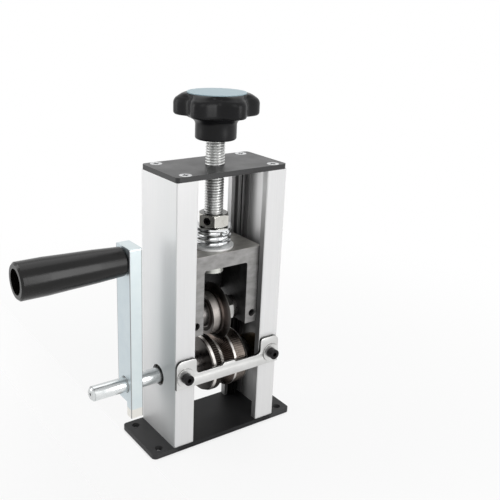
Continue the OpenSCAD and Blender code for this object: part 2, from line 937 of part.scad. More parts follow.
module stop_nut_set_screw() {
    depth = (stop_nut_af - screw_d) / 2 - 2 * seat_gap;
    color([0.08, 0.08, 0.08])
        translate([0, 0, stop_nut_z + stop_nut_h / 2])
            rotate(stop_screw_turn)
                translate([stop_nut_af / 2 - seat_gap, 0, 0])
                    rotate([0, 90, 0])
                        set_screw(depth);
}

module screw_collar() {
    color([0.6, 0.61, 0.6])
        translate([0, 0, collar_top_z - collar_h])
            ring(collar_d, journal_d + 2 * seat_gap, collar_h);
}

module upper_washer() {
    color([0.82, 0.83, 0.84])
        translate([0, 0, upper_washer_z])
            ring(upper_washer_d, screw_d + 2 * run_gap, upper_washer_t);
}

// Spring as one swept wire
spring_r = (spring_d - spring_wire_d) / 2;
spring_rise = spring_h - spring_wire_d - 2 * seat_gap;
ring_count = ceil(spring_turns * rings_per_curl);

function spring_point(s) =
    let (a = spring_start_angle + 360 * spring_turns * s)
    [spring_r * cos(a), spring_r * sin(a), spring_z + seat_gap + spring_wire_d / 2 + spring_rise * s];

function spring_ring(s) =
    let (a = spring_start_angle + 360 * spring_turns * s,
        lean = atan2(spring_rise, 2 * PI * spring_r * spring_turns),
        out = [cos(a), sin(a), 0],
        up = [sin(a) * sin(lean), -cos(a) * sin(lean), cos(lean)],
        c = spring_point(s))
    [for (k = [0 : wire_sides - 1])
        let (t = 360 * (k + 0.5) / wire_sides)
        c + spring_wire_d / 2 * (cos(t) * out + sin(t) * up)];

module spring_wire() {
    points = [for (i = [0 : ring_count]) each spring_ring(i / ring_count)];
    sides = [for (i = [0 : ring_count - 1], k = [0 : wire_sides - 1])
        let (a = i * wire_sides + k, b = i * wire_sides + (k + 1) % wire_sides)
        each [[a, a + wire_sides, b], [b, a + wire_sides, b + wire_sides]]];
    first = [for (k = [1 : wire_sides - 2]) [0, k, k + 1]];
    base = ring_count * wire_sides;
    last = [for (k = [1 : wire_sides - 2]) [base, base + k + 1, base + k]];
    polyhedron(points = points, faces = concat(first, sides, last));
}

// Least gap between neighbouring turns, measured on points half a turn or more apart
spring_samples = 24 * ceil(spring_turns);
spring_path = [for (i = [0 : spring_samples]) spring_point(i / spring_samples)];
half_turn = spring_samples / spring_turns / 2;
spring_gap = min([for (i = [0 : spring_samples], j = [i : spring_samples])
    if (j - i > half_turn) norm(spring_path[i] - spring_path[j])]) - spring_wire_d;
echo(spring_least_gap = spring_gap);

module pressure_spring() {
    color([0.85, 0.86, 0.87])
        spring_wire();
}

// Cutter block

module lower_washer() {
    color([0.82, 0.83, 0.84])
        translate([0, 0, lower_washer_z])
            ring(lower_washer_d, screw_hole_d, lower_washer_t);
}

// Front view of the block, an arch with a rounded window
module block_outline() {
    half = block_w / 2;
    win = window_w / 2;
    difference() {
        area(-half, half, block_z, block_top_z);
        area(-win, win, block_z - overrun, block_bar_z - window_r);
        area(window_r - win, win - window_r, block_z - overrun, block_bar_z);
        for (s = [-1, 1])
            translate([s * (win - window_r), block_bar_z - window_r])
                circle(r = window_r);
    }
}

module sliding_block() {
    half = block_w / 2;
    color([0.5, 0.5, 0.49])
        difference() {
            union() {
                translate([0, half_block_d, 0])
                    rotate([90, 0, 0])
                        linear_extrude(block_depth)
                            block_outline();
                translate([-window_w / 2, half_block_d - rear_wall_t, rear_wall_z])
                    cube([window_w, rear_wall_t, rear_wall_h]);
            }
            translate([blade_slot_x, 0, rear_wall_z - overrun])
                cube([blade_slot_w, block_depth, disc_d / 2 + overrun + axle_z - rear_wall_z]);
            translate([0, 0, block_bar_z - overrun])
                cylinder(d = screw_hole_d, h = block_bar_h + 2 * overrun);
            translate([0, 0, axle_z])
                rod_x(axle_d + 2 * seat_gap, -half - overrun, half + overrun);
            for (s = [-1, 1])
                translate([s * leg_mid_x, 0, axle_z])
                    rod_y(set_screw_d, -block_depth, 0);
        }
}

module axle_set_screws() {
    l = half_block_d - axle_d / 2 - set_screw_l / 2;
    color([0.1, 0.1, 0.1])
        for (s = [-1, 1])
            translate([s * leg_mid_x, seat_gap - axle_d / 2 - l - 2 * seat_gap, axle_z])
                rotate([90, 0, 0])
                    set_screw(l - seat_gap);
}

module cutter_axle() {
    color([0.6, 0.6, 0.6])
        translate([0, 0, axle_z])
            rod_x(axle_d, -axle_l / 2, axle_l / 2);
}

// Flanged sleeve that carries the bearing's inner ring on the axle
module axle_sleeve() {
    bore_r = axle_d / 2 + seat_gap;
    seat_r = bearing_bore / 2;
    x0 = seat_gap - window_w / 2;
    color([0.45, 0.45, 0.45])
        translate([0, 0, axle_z])
            turned_x()
                polygon([[bore_r, x0], [sleeve_flange_d / 2, x0],
                    [sleeve_flange_d / 2, bearing_x - seat_gap], [seat_r, bearing_x - seat_gap],
                    [seat_r, sleeve_end_x], [bore_r, sleeve_end_x]]);
}

module axle_nut() {
    color([0.75, 0.76, 0.76])
        translate([axle_nut_x, 0, axle_z])
            rotate([0, 90, 0])
                difference() {
                    hex_body(axle_nut_af, axle_nut_h);
                    translate([0, 0, -overrun])
                        cylinder(d = axle_d + 2 * seat_gap, h = axle_nut_h + 2 * overrun);
                }
}

module axle_spacer() {
    x0 = axle_nut_x + axle_nut_h + seat_gap;
    color([0.45, 0.45, 0.45])
        translate([0, 0, axle_z])
            difference() {
                rod_x(bearing_bore, x0, window_w / 2 - seat_gap);
                rod_x(axle_d + 2 * seat_gap, 0, window_w);
            }
}

// Race of the ball bearing, a ring with a groove for the balls
module race(r_in, r_out) {
    pitch_r = (bearing_bore + bearing_d) / 4;
    groove_r = ball_d / 2 + groove_radius_gap;
    translate([0, 0, axle_z])
        turned_x(bearing_x)
            difference() {
                area(r_in, r_out, 0, bearing_w);
                translate([pitch_r, bearing_w / 2])
                    circle(r = groove_r);
            }
}

module bearing_inner_ring() {
    color([0.78, 0.78, 0.78])
        race(bearing_bore / 2 + seat_gap, bearing_bore / 2 + ring_t);
}

module bearing_outer_ring() {
    color([0.8, 0.8, 0.79])
        race(bearing_d / 2 - ring_t, bearing_d / 2);
}

module bearing_balls() {
    pitch_r = (bearing_bore + bearing_d) / 4;
    color([0.85, 0.85, 0.85])
        translate([bearing_x + bearing_w / 2, 0, axle_z])
            for (i = [0 : ball_count - 1])
                rotate([360 * i / ball_count, 0, 0])
                    translate([0, 0, pitch_r])
                        sphere(d = ball_d, $fn = 32);
}

module bearing_seals() {
    r_in = bearing_bore / 2 + ring_t + run_gap;
    r_out = bearing_d / 2 - ring_t - seat_gap;
    color([0.12, 0.11, 0.1])
        translate([0, 0, axle_z])
            for (x = [bearing_x + seat_gap, bearing_x + bearing_w - seal_t - seat_gap])
                turned_x(x)
                    area(r_in, r_out, 0, seal_t);
}

// Cutting disc with its bearing collar and double bevel
module cutting_disc() {
    r = disc_d / 2;
    flat_r = r - disc_bevel;
    seat_r = bearing_d / 2 + seat_gap;
    bore_r = disc_bore_d / 2;
    collar_r = disc_collar_d / 2;
    mid = disc_t / 2;
    edge = disc_edge_w / 2;
    color([0.3, 0.28, 0.27])
        translate([0, 0, axle_z])
            turned_x(disc_x)
                polygon([[seat_r, -disc_collar_w], [collar_r, -disc_collar_w], [collar_r, 0],
                    [flat_r, 0], [r, mid - edge], [r, mid + edge], [flat_r, disc_t],
                    [bore_r, disc_t], [bore_r, seat_gap], [seat_r, seat_gap]]);
}

base_plate();
base_screws();
left_column();
right_column();
top_plate();
top_screws();
guide_bar();
guide_bar_screws();
guide_bar_washers();
left_bushing();
right_bushing();
drive_shaft();
feed_roller();
roller_set_screw();
shaft_spacer();
crank_arm();
crank_set_screw();
handle_bolt();
handle_grip();
feed_screw();
star_knob();
knob_insert();
knob_cap();
stop_nut();
stop_nut_set_screw();
screw_collar();
upper_washer();
pressure_spring();
lower_washer();
sliding_block();
axle_set_screws();
cutter_axle();
axle_sleeve();
axle_nut();
axle_spacer();
bearing_inner_ring();
bearing_outer_ring();
bearing_balls();
bearing_seals();
cutting_disc();
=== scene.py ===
# Looks of a hand crank wire stripper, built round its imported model
import json
import math

import bpy
from mathutils import Matrix, Vector


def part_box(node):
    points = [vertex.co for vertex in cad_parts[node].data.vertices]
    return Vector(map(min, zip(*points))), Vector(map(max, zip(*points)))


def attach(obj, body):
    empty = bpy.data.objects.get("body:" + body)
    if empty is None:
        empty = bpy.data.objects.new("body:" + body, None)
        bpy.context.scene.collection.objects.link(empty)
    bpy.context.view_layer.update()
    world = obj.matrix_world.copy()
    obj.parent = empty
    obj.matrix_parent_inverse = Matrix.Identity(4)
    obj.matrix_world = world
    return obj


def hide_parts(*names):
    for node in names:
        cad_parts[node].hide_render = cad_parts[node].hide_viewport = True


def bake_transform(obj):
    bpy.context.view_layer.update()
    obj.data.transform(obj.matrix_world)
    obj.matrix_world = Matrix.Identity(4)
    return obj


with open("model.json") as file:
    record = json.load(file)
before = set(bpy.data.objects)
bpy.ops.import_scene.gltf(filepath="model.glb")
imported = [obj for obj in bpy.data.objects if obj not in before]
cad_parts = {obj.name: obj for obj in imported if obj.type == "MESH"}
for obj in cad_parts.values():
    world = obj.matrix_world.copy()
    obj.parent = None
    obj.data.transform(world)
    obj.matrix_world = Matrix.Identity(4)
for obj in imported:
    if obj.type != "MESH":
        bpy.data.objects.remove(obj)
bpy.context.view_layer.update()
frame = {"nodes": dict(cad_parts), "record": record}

MM = 0.001
TAU = 2 * math.pi
UP = Vector((0, 0, 1))


def middle(node):
    """Centre of a node's box at rest."""
    low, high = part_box(node)
    return (low + high) / 2


SHAFT_Z = middle("drive_shaft").z
DISC_Z = middle("cutting_disc").z


def in_scene(name, data):
    """A new object for this mesh, curve, camera or light, linked into the scene."""
    made = bpy.data.objects.new(name, data)
    bpy.context.scene.collection.objects.link(made)
    return made


# Camera at the photograph's angle

CAMERA_AZIMUTH = math.radians(-33.86)
CAMERA_ELEVATION = math.radians(19.59)
CAMERA_ROLL = math.radians(1.39)
CAMERA_DISTANCE = 0.4621
CAMERA_TARGET = Vector((-0.00581, 0.0, 0.1266))
CAMERA_LENS_MM = 52.30
CAMERA_SENSOR_MM = 36
CAMERA_SHIFT_X = 0.09
CAMERA_CLIP_START = 0.01
CAMERA_CLIP_END = 20.0


def make_camera():
    """Looks at the target from the azimuth and elevation, rolled about the line of sight."""
    az, el = CAMERA_AZIMUTH, CAMERA_ELEVATION
    back = Vector((math.sin(az) * math.cos(el), -math.cos(az) * math.cos(el), math.sin(el)))
    right = (-back).cross(UP).normalized()
    up = right.cross(-back)
    c, s = math.cos(CAMERA_ROLL), math.sin(CAMERA_ROLL)
    x_axis = c * right + s * up
    y_axis = c * up - s * right
    data = bpy.data.cameras.new("camera")
    data.lens = CAMERA_LENS_MM
    data.sensor_width = CAMERA_SENSOR_MM
    data.shift_x = CAMERA_SHIFT_X
    data.clip_start = CAMERA_CLIP_START
    data.clip_end = CAMERA_CLIP_END
    camera = in_scene("camera", data)
    place = Matrix((x_axis, y_axis, back)).transposed().to_4x4()
    place.translation = CAMERA_TARGET + CAMERA_DISTANCE * back
    camera.matrix_world = place
    bpy.context.scene.camera = camera


# Mesh helpers

def new_piece(name, shape, body, material, smooth_deg=40, replaces=None):
    """A piece of this (vertices, faces) shape that rides on a body, where one is given. Edges sharper
    than smooth_deg stay crisp."""
    verts, faces = shape
    mesh = bpy.data.meshes.new(name)
    mesh.from_pydata([tuple(v) for v in verts], [], faces)
    mesh.validate()
    mesh.update()
    mesh.shade_smooth()
    mesh.set_sharp_from_angle(angle=math.radians(smooth_deg))
    mesh.materials.append(material)
    piece = in_scene(name, mesh)
    if body:
        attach(piece, body)
    if replaces:
        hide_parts(replaces)
    return piece


def full_turn(count):
    """Angles of this many equal steps round a circle."""
    return [TAU * k / count for k in range(count)]


def loop_grid(rings):
    """Vertices and faces of a tube through rings of equal count, with flat caps."""
    count = len(rings[0])
    verts = [p for ring in rings for p in ring]
    faces = []
    for i in range(len(rings) - 1):
        for k in range(count):
            a, b = i * count + k, i * count + (k + 1) % count
            faces.append((a, b, b + count, a + count))
    faces.append(tuple(reversed(range(count))))
    last = (len(rings) - 1) * count
    faces.append(tuple(last + k for k in range(count)))
    return verts, faces


def revolve(profile, count, place, radius_at=None):
    """Vertices and faces of an outline of (radius, height) points turned round an axis. The outline
    closes on itself, or starts and ends on the axis. place(radius, angle, height) gives the point,
    and radius_at(radius, height, angle, index) may shape it."""
    verts, faces, rings = [], [], []
    for index, (r, h) in enumerate(profile):
        if r == 0:
            rings.append([len(verts)])
            verts.append(place(0, 0, h))
            continue
        rings.append(list(range(len(verts), len(verts) + count)))
        for a in full_turn(count):
            verts.append(place(radius_at(r, h, a, index) if radius_at else r, a, h))
    pairs = list(zip(rings, rings[1:]))
    if len(rings[0]) > 1 and len(rings[-1]) > 1:
        pairs.append((rings[-1], rings[0]))
    for low, high in pairs:
        for k in range(count):
            n = (k + 1) % count
            if len(low) == 1:
                faces.append((low[0], high[n], high[k]))
            elif len(high) == 1:
                faces.append((low[k], low[n], high[0]))
            else:
                faces.append((low[k], low[n], high[n], high[k]))
    return verts, faces


def along_x(axis_z):
    """Place function for what is turned about the X direction at this height."""
    return lambda r, a, h: (h, r * math.sin(a), axis_z + r * math.cos(a))


def along_z(start_z=0, turn=0):
    """Place function for what is turned about the Z axis, counted from this height and angle."""
    return lambda r, a, h: (r * math.cos(a + turn), r * math.sin(a + turn), start_z + h)


def smooth_step(t):
    """A share that eases from 0 to 1 as t does."""
    t = max(0.0, min(1.0, t))
    return t * t * (3 - 2 * t)


def arc_points(cx, cy, r, start_deg, end_deg, steps):
    """Points on an arc, for rounding an outline's corners."""
    angles = [math.radians(start_deg + (end_deg - start_deg) * i / steps) for i in range(steps + 1)]
    return [(cx + r * math.cos(a), cy + r * math.sin(a)) for a in angles]


def ring_points(cx, cy, r, count=32):
    """Points on a full circle, for a hole in an outline."""
    return arc_points(cx, cy, r, 0, 360 - 360 / count, count - 1)


# Materials

NOISE_ROUGHNESS = 0.55
NOISE_LOW, NOISE_HIGH = 0.3, 0.7
SOFT_EDGE = 0.4 * MM
CREASE_SAMPLES = 6
# Share of the colour kept in painted crease shade
CREASE_SHARE = 0.1


class Finish:
    """One procedural material, with the few node helpers that the finishes share."""

    def __init__(self, name, **sockets):
        self.name = name
        self.material = bpy.data.materials.new(name)
        self.material.use_nodes = True
        self.tree = self.material.node_tree
        self.shader = self.tree.nodes["Principled BSDF"]
        for key, value in sockets.items():
            self.shader.inputs[key.replace("_", " ")].default_value = value
        self.surface = self.node("ShaderNodeTexCoord")

    def node(self, kind, **settings):
        made = self.tree.nodes.new(kind)
        for key, value in settings.items():
            setattr(made, key, value)
        return made

    def link(self, source, target):
        self.tree.links.new(source, target)

    def feed(self, socket, value):
        """Gives a socket a number, a colour or another node's output."""
        if isinstance(value, (int, float)):
            socket.default_value = value
        elif isinstance(value, tuple):
            socket.default_value = (*value, 1)
        else:
            self.link(value, socket)

    def noise(self, scale, detail=3, stretch=(1, 1, 1)):
        """Noise whose cells are about 1 / scale metres wide."""
        mapping = self.node("ShaderNodeMapping")
        mapping.inputs["Scale"].default_value = stretch
        self.link(self.surface.outputs["Object"], mapping.inputs["Vector"])
        noise = self.node("ShaderNodeTexNoise")
        noise.inputs["Scale"].default_value = scale
        noise.inputs["Detail"].default_value = detail
        noise.inputs["Roughness"].default_value = NOISE_ROUGHNESS
        self.link(mapping.outputs["Vector"], noise.inputs["Vector"])
        return noise.outputs["Fac"]

    def ramp(self, fac, stops):
        """Colour ramp through (place, colour) stops; a number makes a grey."""
        ramp = self.node("ShaderNodeValToRGB")
        elements = ramp.color_ramp.elements
        while len(elements) < len(stops):
            elements.new(0.5)
        for element, (place, colour) in zip(elements, stops):
            element.position = place
            rgb = (colour,) * 3 if isinstance(colour, (int, float)) else colour
            element.color = (*rgb, 1)
        self.link(fac, ramp.inputs["Fac"])
        return ramp.outputs["Color"]

    def between(self, noise, low, high):
        """Tones from low to high over the usual reach of a noise."""
        return self.ramp(noise, [(NOISE_LOW, low), (NOISE_HIGH, high)])

    def bands(self, fac, stops):
        """Colour that changes in steps at the stops."""
        colours = self.ramp(fac, stops)
        colours.node.color_ramp.interpolation = "CONSTANT"
        return colours

    def mix(self, fac, a, b, blend="MIX"):
        """Mix of two colours or sockets."""
        mix = self.node("ShaderNodeMix", data_type="RGBA", blend_type=blend)
        for key, value, kind in (("Factor", fac, "VALUE"), ("A", a, "RGBA"), ("B", b, "RGBA")):
            self.feed(next(s for s in mix.inputs if s.name == key and s.type == kind), value)
        return next(s for s in mix.outputs if s.type == "RGBA")

    def times(self, a, b):
        """Product of two colours."""
        return self.mix(1.0, a, b, "MULTIPLY")

    def math(self, operation, *values):
        made = self.node("ShaderNodeMath", operation=operation)
        for socket, value in zip(made.inputs, values):
            self.feed(socket, value)
        return made.outputs["Value"]

    def both(self, first, *others):
        """Product of shares: 1 only where all of them are."""
        for other in others:
            first = self.math("MULTIPLY", first, other)
        return first

    def length(self, a, b):
        """Length of the line whose two legs are a and b."""
        return self.math("SQRT", self.math("ADD", self.math("MULTIPLY", a, a), self.math("MULTIPLY", b, b)))

    def part(self, vector, index):
        """One coordinate of a vector."""
        split = self.node("ShaderNodeSeparateXYZ")
        self.link(vector, split.inputs["Vector"])
        return split.outputs[index]

    def axis(self, index):
        """One coordinate of the place on the object, in metres."""
        return self.part(self.surface.outputs["Object"], index)

    def off_middle(self, index):
        """Distance from the object's origin along one axis."""
        return self.math("ABSOLUTE", self.axis(index))

    def radius_from(self, height):
        """Distance from the line along X at this height."""
        return self.length(self.axis(1), self.math("SUBTRACT", self.axis(2), height))

    def rise(self, value, start, end, curve="SMOOTHSTEP"):
        """A share that goes from 0 at start to 1 at end, eased at both or, with LINEAR, evenly."""
        step = self.node("ShaderNodeMapRange", interpolation_type=curve)
        step.inputs["From Min"].default_value = start
        step.inputs["From Max"].default_value = end
        self.link(value, step.inputs["Value"])
        return step.outputs["Result"]

    def within(self, index, half):
        """1 where this coordinate lies between -half and half."""
        return self.rise(self.off_middle(index), half, half - SOFT_EDGE)

    def upward(self):
        """How far the surface faces up, from -1 to 1."""
        return self.part(self.node("ShaderNodeNewGeometry").outputs["Normal"], 2)

    def creases(self, distance, low=0.3, high=0.8):
        """0 in corners and gaps up to this distance across, 1 in the open."""
        near = self.node("ShaderNodeAmbientOcclusion", samples=CREASE_SAMPLES)
        near.inputs["Distance"].default_value = distance
        return self.rise(near.outputs["AO"], low, high)

    def colour(self, source):
        self.feed(self.shader.inputs["Base Color"], source)

    def rough(self, source):
        self.feed(self.shader.inputs["Roughness"], source)

    def bump(self, height, strength, depth):
        """Bump by a height of 0 to 1, of this real depth in metres."""
        bump = self.node("ShaderNodeBump")
        bump.inputs["Strength"].default_value = strength
        bump.inputs["Distance"].default_value = depth
        self.link(height, bump.inputs["Height"])
        self.link(bump.outputs["Normal"], self.shader.inputs["Normal"])


def column_outside(f, lines, height):
    """Anodised faces with painted shade: toned by height on the front and back, darker low down and towards
    the front of the outer side, darker along the outer corners and in gaps at other parts.
    """
    outer_x, half_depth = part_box("right_column")[1].xy
    front_shade_from, front_shade_to, gap = 16 * MM, -20 * MM, 1.3 * MM
    side_from, side_to, corner_from, corner_to = 0.6 * MM, 0.2 * MM, 0.5 * MM, 0.3 * MM
    skin = f.mix(0.35, f.between(lines, (0.80, 0.80, 0.805), (0.87, 0.87, 0.87)),
                 f.between(f.noise(38, 3, (1, 1, 0.4)), (0.82, 0.822, 0.83), (0.88, 0.878, 0.87)))
    # Painted shade on the outer side, darker low down and more so towards its front
    back_side_shade = f.ramp(height, [(0.0, 0.74), (0.1, 0.86), (0.4, 0.96), (0.9, 1.0)])
    front_side_shade = f.ramp(height, [(0.0, (0.66, 0.67, 0.67)), (0.15, (0.55, 0.575, 0.58)),
                              (0.45, (0.66, 0.69, 0.69)), (0.8, (0.93, 0.94, 0.94))])
    side_shade = f.mix(f.rise(f.axis(1), front_shade_from, front_shade_to), back_side_shade, front_side_shade)
    # Painted shade by height on the front and back faces
    face = f.ramp(height, [(0.0, 0.83), (0.45, 0.87), (0.8, 0.83), (1.0, 0.8)])
    side = f.rise(f.off_middle(0), outer_x - side_from, outer_x - side_to)
    tone = f.mix(side, f.times(skin, face), f.times(skin, side_shade))
    # Painted shade along the outer vertical corners
    corner = f.both(f.rise(f.off_middle(0), outer_x - corner_from, outer_x - side_to),
                    f.rise(f.off_middle(1), half_depth - side_from, half_depth - corner_to))
    tone = f.mix(corner, tone, f.times(tone, (0.78, 0.78, 0.78)))
    # Painted shade in gaps at other parts
    return f.mix(f.creases(gap, 0.25, 0.7), (0.09, 0.09, 0.088), tone)


def column_inside(f, height):
    """Painted shade in the hollow with streaky painted reflections, painted light on the web high up with
    painted shade across its grooves, and greyer lips with painted shade by height.
    """
    web_t, web_half, web_soft, lip_x, lip_y = 2.8 * MM, 20 * MM, 0.2 * MM, 28.4 * MM, 16 * MM
    web_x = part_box("right_column")[1].x - web_t
    # Painted reflections: streaky vertical lines in the hollow
    reflection_streaks = f.ramp(f.noise(300, 2, (1, 1, 0.004)), [(0.38, 0.45), (0.5, 0.95), (0.66, 1.6)])
    # Painted shade in the hollow, darkest low down
    hollow = f.times(f.ramp(height, [(0.0, 0.012), (0.12, 0.016), (0.25, 0.04), (0.75, 0.1),
                                     (0.87, 0.26), (1.0, 0.48)]), reflection_streaks)
    # Painted light on the web high up, toned by height
    lit = f.ramp(height, [(0.0, 0.3), (0.12, 0.5), (0.2, 0.5), (0.28, 0.1), (0.73, 0.02), (0.79, 0.72),
                          (1.0, 0.98)])
    across = f.rise(f.off_middle(1), 0, web_half, "LINEAR")
    # Painted shade across the web's grooves
    groove_shade = f.ramp(across, [(0.0, 1.0), (0.2, 0.9), (0.4, 0.6), (0.45, 0.58), (0.55, 0.58), (0.56, 0.95),
                              (0.585, 0.95), (0.6, 0.55)])
    on_web = f.rise(f.off_middle(0), web_x, web_x + web_soft)
    tone = f.mix(on_web, hollow, f.times(lit, groove_shade))
    # Painted shade on the lips, by height
    lip = f.ramp(height, [(0.0, 0.22), (0.14, 0.55), (0.2, 0.27), (0.3, 0.16), (0.45, 0.1), (0.72, 0.18),
                          (0.85, 0.35), (0.94, 0.58), (1.0, 0.72)])
    on_lip = f.both(f.within(0, lip_x), f.rise(f.off_middle(1), lip_y, lip_y + SOFT_EDGE))
    return f.mix(on_lip, tone, lip)


def brushed_column():
    """Clear anodised extrusion: faint vertical die lines outside, painted shade and streaky painted
    reflections in the hollow inside.
    """
    f = Finish("column_aluminium", Metallic=0.4, Specular_IOR_Level=0.2)
    shaded_h, inside_x, inside_y, line_depth = 180 * MM, 38.6 * MM, 20.75 * MM, 0.02 * MM
    lines = f.noise(2200, 2, (1, 1, 0.006))
    height = f.rise(f.axis(2), 0, shaded_h)
    inside = f.both(f.within(0, inside_x), f.within(1, inside_y))
    f.colour(f.mix(inside, column_outside(f, lines, height), column_inside(f, height)))
    f.rough(f.ramp(lines, [(0.2, 0.38), (0.8, 0.5)]))
    f.bump(lines, 0.2, line_depth)
    return f


def black_plate(name, specular, roughness, shade_reach=None):
    """Black coated steel with a fine orange-peel skin. Given shade_reach, it is darker within that distance
    of the middle, a painted shade between and under the columns, and greyer further out."""
    f = Finish(name, Specular_IOR_Level=specular)
    spread, fade, skin_depth = 0.06, 4 * MM, 0.03 * MM
    cloud = f.noise(60, 4)
    tone = f.between(cloud, (0.009, 0.009, 0.0095), (0.016, 0.016, 0.017))
    # Painted shade: darker within this distance of the middle, between and under the columns
    if shade_reach:
        unshaded = f.between(cloud, (0.034, 0.034, 0.035), (0.048, 0.048, 0.049))
        tone = f.mix(f.rise(f.off_middle(0), shade_reach, shade_reach + fade), tone, unshaded)
    f.colour(tone)
    f.rough(f.between(cloud, roughness - spread, roughness + spread))
    f.bump(f.noise(2600), 0.3, skin_depth)
    return f


def plated(name, low, high, roughness=(0.22, 0.38), grain=900, stretch=(1, 1, 1), depth=0.01 * MM,
           metallic=1.0, crease=None):
    """Plated or ground metal: a slight cloudiness over a fine grain, with painted shade in its creases where
    a crease reach is given.
    """
    f = Finish(name, Metallic=metallic)
    fine = f.noise(grain, 3, stretch)
    tone = f.between(f.noise(110, 4), low, high)
    if crease:
        # Painted shade in creases and gaps up to the crease reach
        tone = f.mix(f.creases(crease), tuple(CREASE_SHARE * c for c in low), tone)
    f.colour(tone)
    f.rough(f.between(fine, *roughness))
    if depth:
        f.bump(fine, 0.3, depth)
    return f


def cut_bar():
    """Brushed flat bar with a bright middle, painted shade on the sheared edges of its ears, where it stands
    off the columns, and painted shade in its gaps.
    """
    f = Finish("bar_steel", Metallic=1.0)
    middle_half, fade, gap, grain_depth = 12.5 * MM, 0.5 * MM, 1.2 * MM, 0.01 * MM
    fine = f.noise(1200, 3, (0.06, 1, 1))
    tone = f.between(f.noise(110, 4), (0.58, 0.58, 0.572), (0.68, 0.68, 0.67))
    # Painted shade in gaps
    tone = f.mix(f.creases(gap), (0.058, 0.058, 0.057), tone)
    # Painted shade on the ears' sheared edges, a dark line where the bar stands off the columns
    edge = f.rise(f.math("ABSOLUTE", f.part(f.surface.outputs["Normal"], 1)), 0.8, 0.5)
    ear = f.rise(f.off_middle(0), middle_half, middle_half + fade)
    f.colour(f.mix(f.both(edge, ear), tone, (0.06, 0.06, 0.058)))
    f.rough(f.between(fine, 0.3, 0.44))
    f.bump(fine, 0.3, grain_depth)
    return f


def zinc_bar():
    """Cool zinc-plated bar of the crank, with painted shade on its side faces and along its long edges, and a
    yellower foot.
    """
    f = Finish("crank_zinc", Metallic=0.8)
    low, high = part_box("crank_arm")
    edge_from, edge_to, side_from, side_to = 0.6 * MM, 0.2 * MM, 0.1 * MM, 0.05 * MM
    foot_h, foot_fade = 6.6 * MM, 1 * MM
    half_x, foot_z = (high.x - low.x) / 2, low.z + foot_h
    across = f.math("ABSOLUTE", f.math("SUBTRACT", f.axis(0), middle("crank_arm").x))
    side = f.rise(across, half_x - side_from, half_x - side_to)
    foot = f.rise(f.axis(2), foot_z, foot_z - foot_fade)
    edge = f.both(f.rise(across, half_x - edge_from, half_x - edge_to),
                  f.rise(f.off_middle(1), high.y - edge_from, high.y - edge_to))
    tone = f.between(f.noise(110, 4), (0.66, 0.735, 0.755), (0.71, 0.78, 0.79))
    # Painted shade on the side faces
    tone = f.mix(side, tone, f.times(tone, (0.86, 0.875, 0.9)))
    tone = f.mix(foot, tone, (0.8, 0.785, 0.74))
    # Painted shade along the long edges
    f.colour(f.mix(edge, tone, (0.24, 0.24, 0.245)))
    f.rough(f.between(f.noise(700), 0.3, 0.38))
    return f


def moulded(name, low, high, roughness=(0.26, 0.4), depth=0.03 * MM, specular=0.17):
    """Moulded plastic with a fine grain."""
    f = Finish(name, Specular_IOR_Level=specular)
    cloud = f.noise(45)
    f.colour(f.between(cloud, low, high))
    f.rough(f.between(cloud, *roughness))
    f.bump(f.noise(1500, 4), 0.25, depth)
    return f


def cast_block():
    """Grey machined steel with oil-stained blotches and fine milling lines, a painted lighter top, and
    painted shade in its gaps and inside its window.
    """
    f = Finish("block_steel", Metallic=1.0)
    low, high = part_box("sliding_block")
    window_half, window_top, window_soft = 17.1 * MM, 119.5 * MM, 0.2 * MM
    front_from, front_to, back_from, back_to = 0.3 * MM, 0.6 * MM, 0.1 * MM, 0.4 * MM
    crown_from, crown_to, gap, skin_depth = 0.2 * MM, 0.1 * MM, 1.2 * MM, 0.04 * MM
    mill = f.noise(1400, 2, (0.05, 1, 1))
    blotch = f.noise(260, 5, (0.6, 1, 1))
    base = f.ramp(blotch, [(0.3, (0.17, 0.166, 0.16)), (0.5, (0.25, 0.245, 0.24)),
                           (0.7, (0.33, 0.325, 0.32))])
    stain = f.ramp(f.noise(60), [(0.35, (0.16, 0.155, 0.15)), (0.65, (0.36, 0.352, 0.345))])
    base = f.mix(0.3, base, stain)
    base = f.mix(0.2, base, f.between(mill, 0.2, 0.4))
    # Painted light: the top is made lighter
    lit_top = f.rise(f.axis(2), high.z - crown_from, high.z - crown_to)
    base = f.mix(lit_top, base, f.times(base, (1.5, 1.48, 1.42)))
    # Painted shade in gaps
    base = f.mix(f.creases(gap), (0.03, 0.03, 0.03), base)
    # Painted shade inside the window
    window = f.both(f.within(0, window_half),
                    f.rise(f.axis(1), low.y + front_from, low.y + front_to),
                    f.rise(f.axis(1), high.y - back_from, high.y - back_to),
                    f.rise(f.axis(2), window_top, window_top - window_soft))
    f.colour(f.mix(window, base, f.ramp(blotch, [(0.35, 0.05), (0.65, 0.085)])))
    f.rough(f.between(mill, 0.42, 0.6))
    f.bump(f.noise(2400), 0.4, skin_depth)
    return f


def cutter_steel():
    """Hardened dark steel of the cutting disc, brighter along its ground bevel and edge, partly a painted
    highlight.
    """
    f = Finish("cutter_steel", Metallic=1.0)
    disc_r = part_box("cutting_disc")[1].z - DISC_Z
    bevel_w, edge_w, rim_w = 2.2 * MM, 0.5 * MM, 0.2 * MM
    r = f.radius_from(DISC_Z)
    stain = f.noise(170, 5)
    body = f.between(stain, (0.034, 0.027, 0.024), (0.075, 0.06, 0.053))
    # Brighter bevel and edge: ground steel, and partly a painted highlight
    ground = f.mix(f.rise(r, disc_r - bevel_w, disc_r - rim_w), body, (0.09, 0.082, 0.078))
    f.colour(f.mix(f.rise(r, disc_r - edge_w, disc_r - rim_w), ground, (0.09, 0.085, 0.08)))
    f.rough(f.between(stain, 0.28, 0.46))
    return f


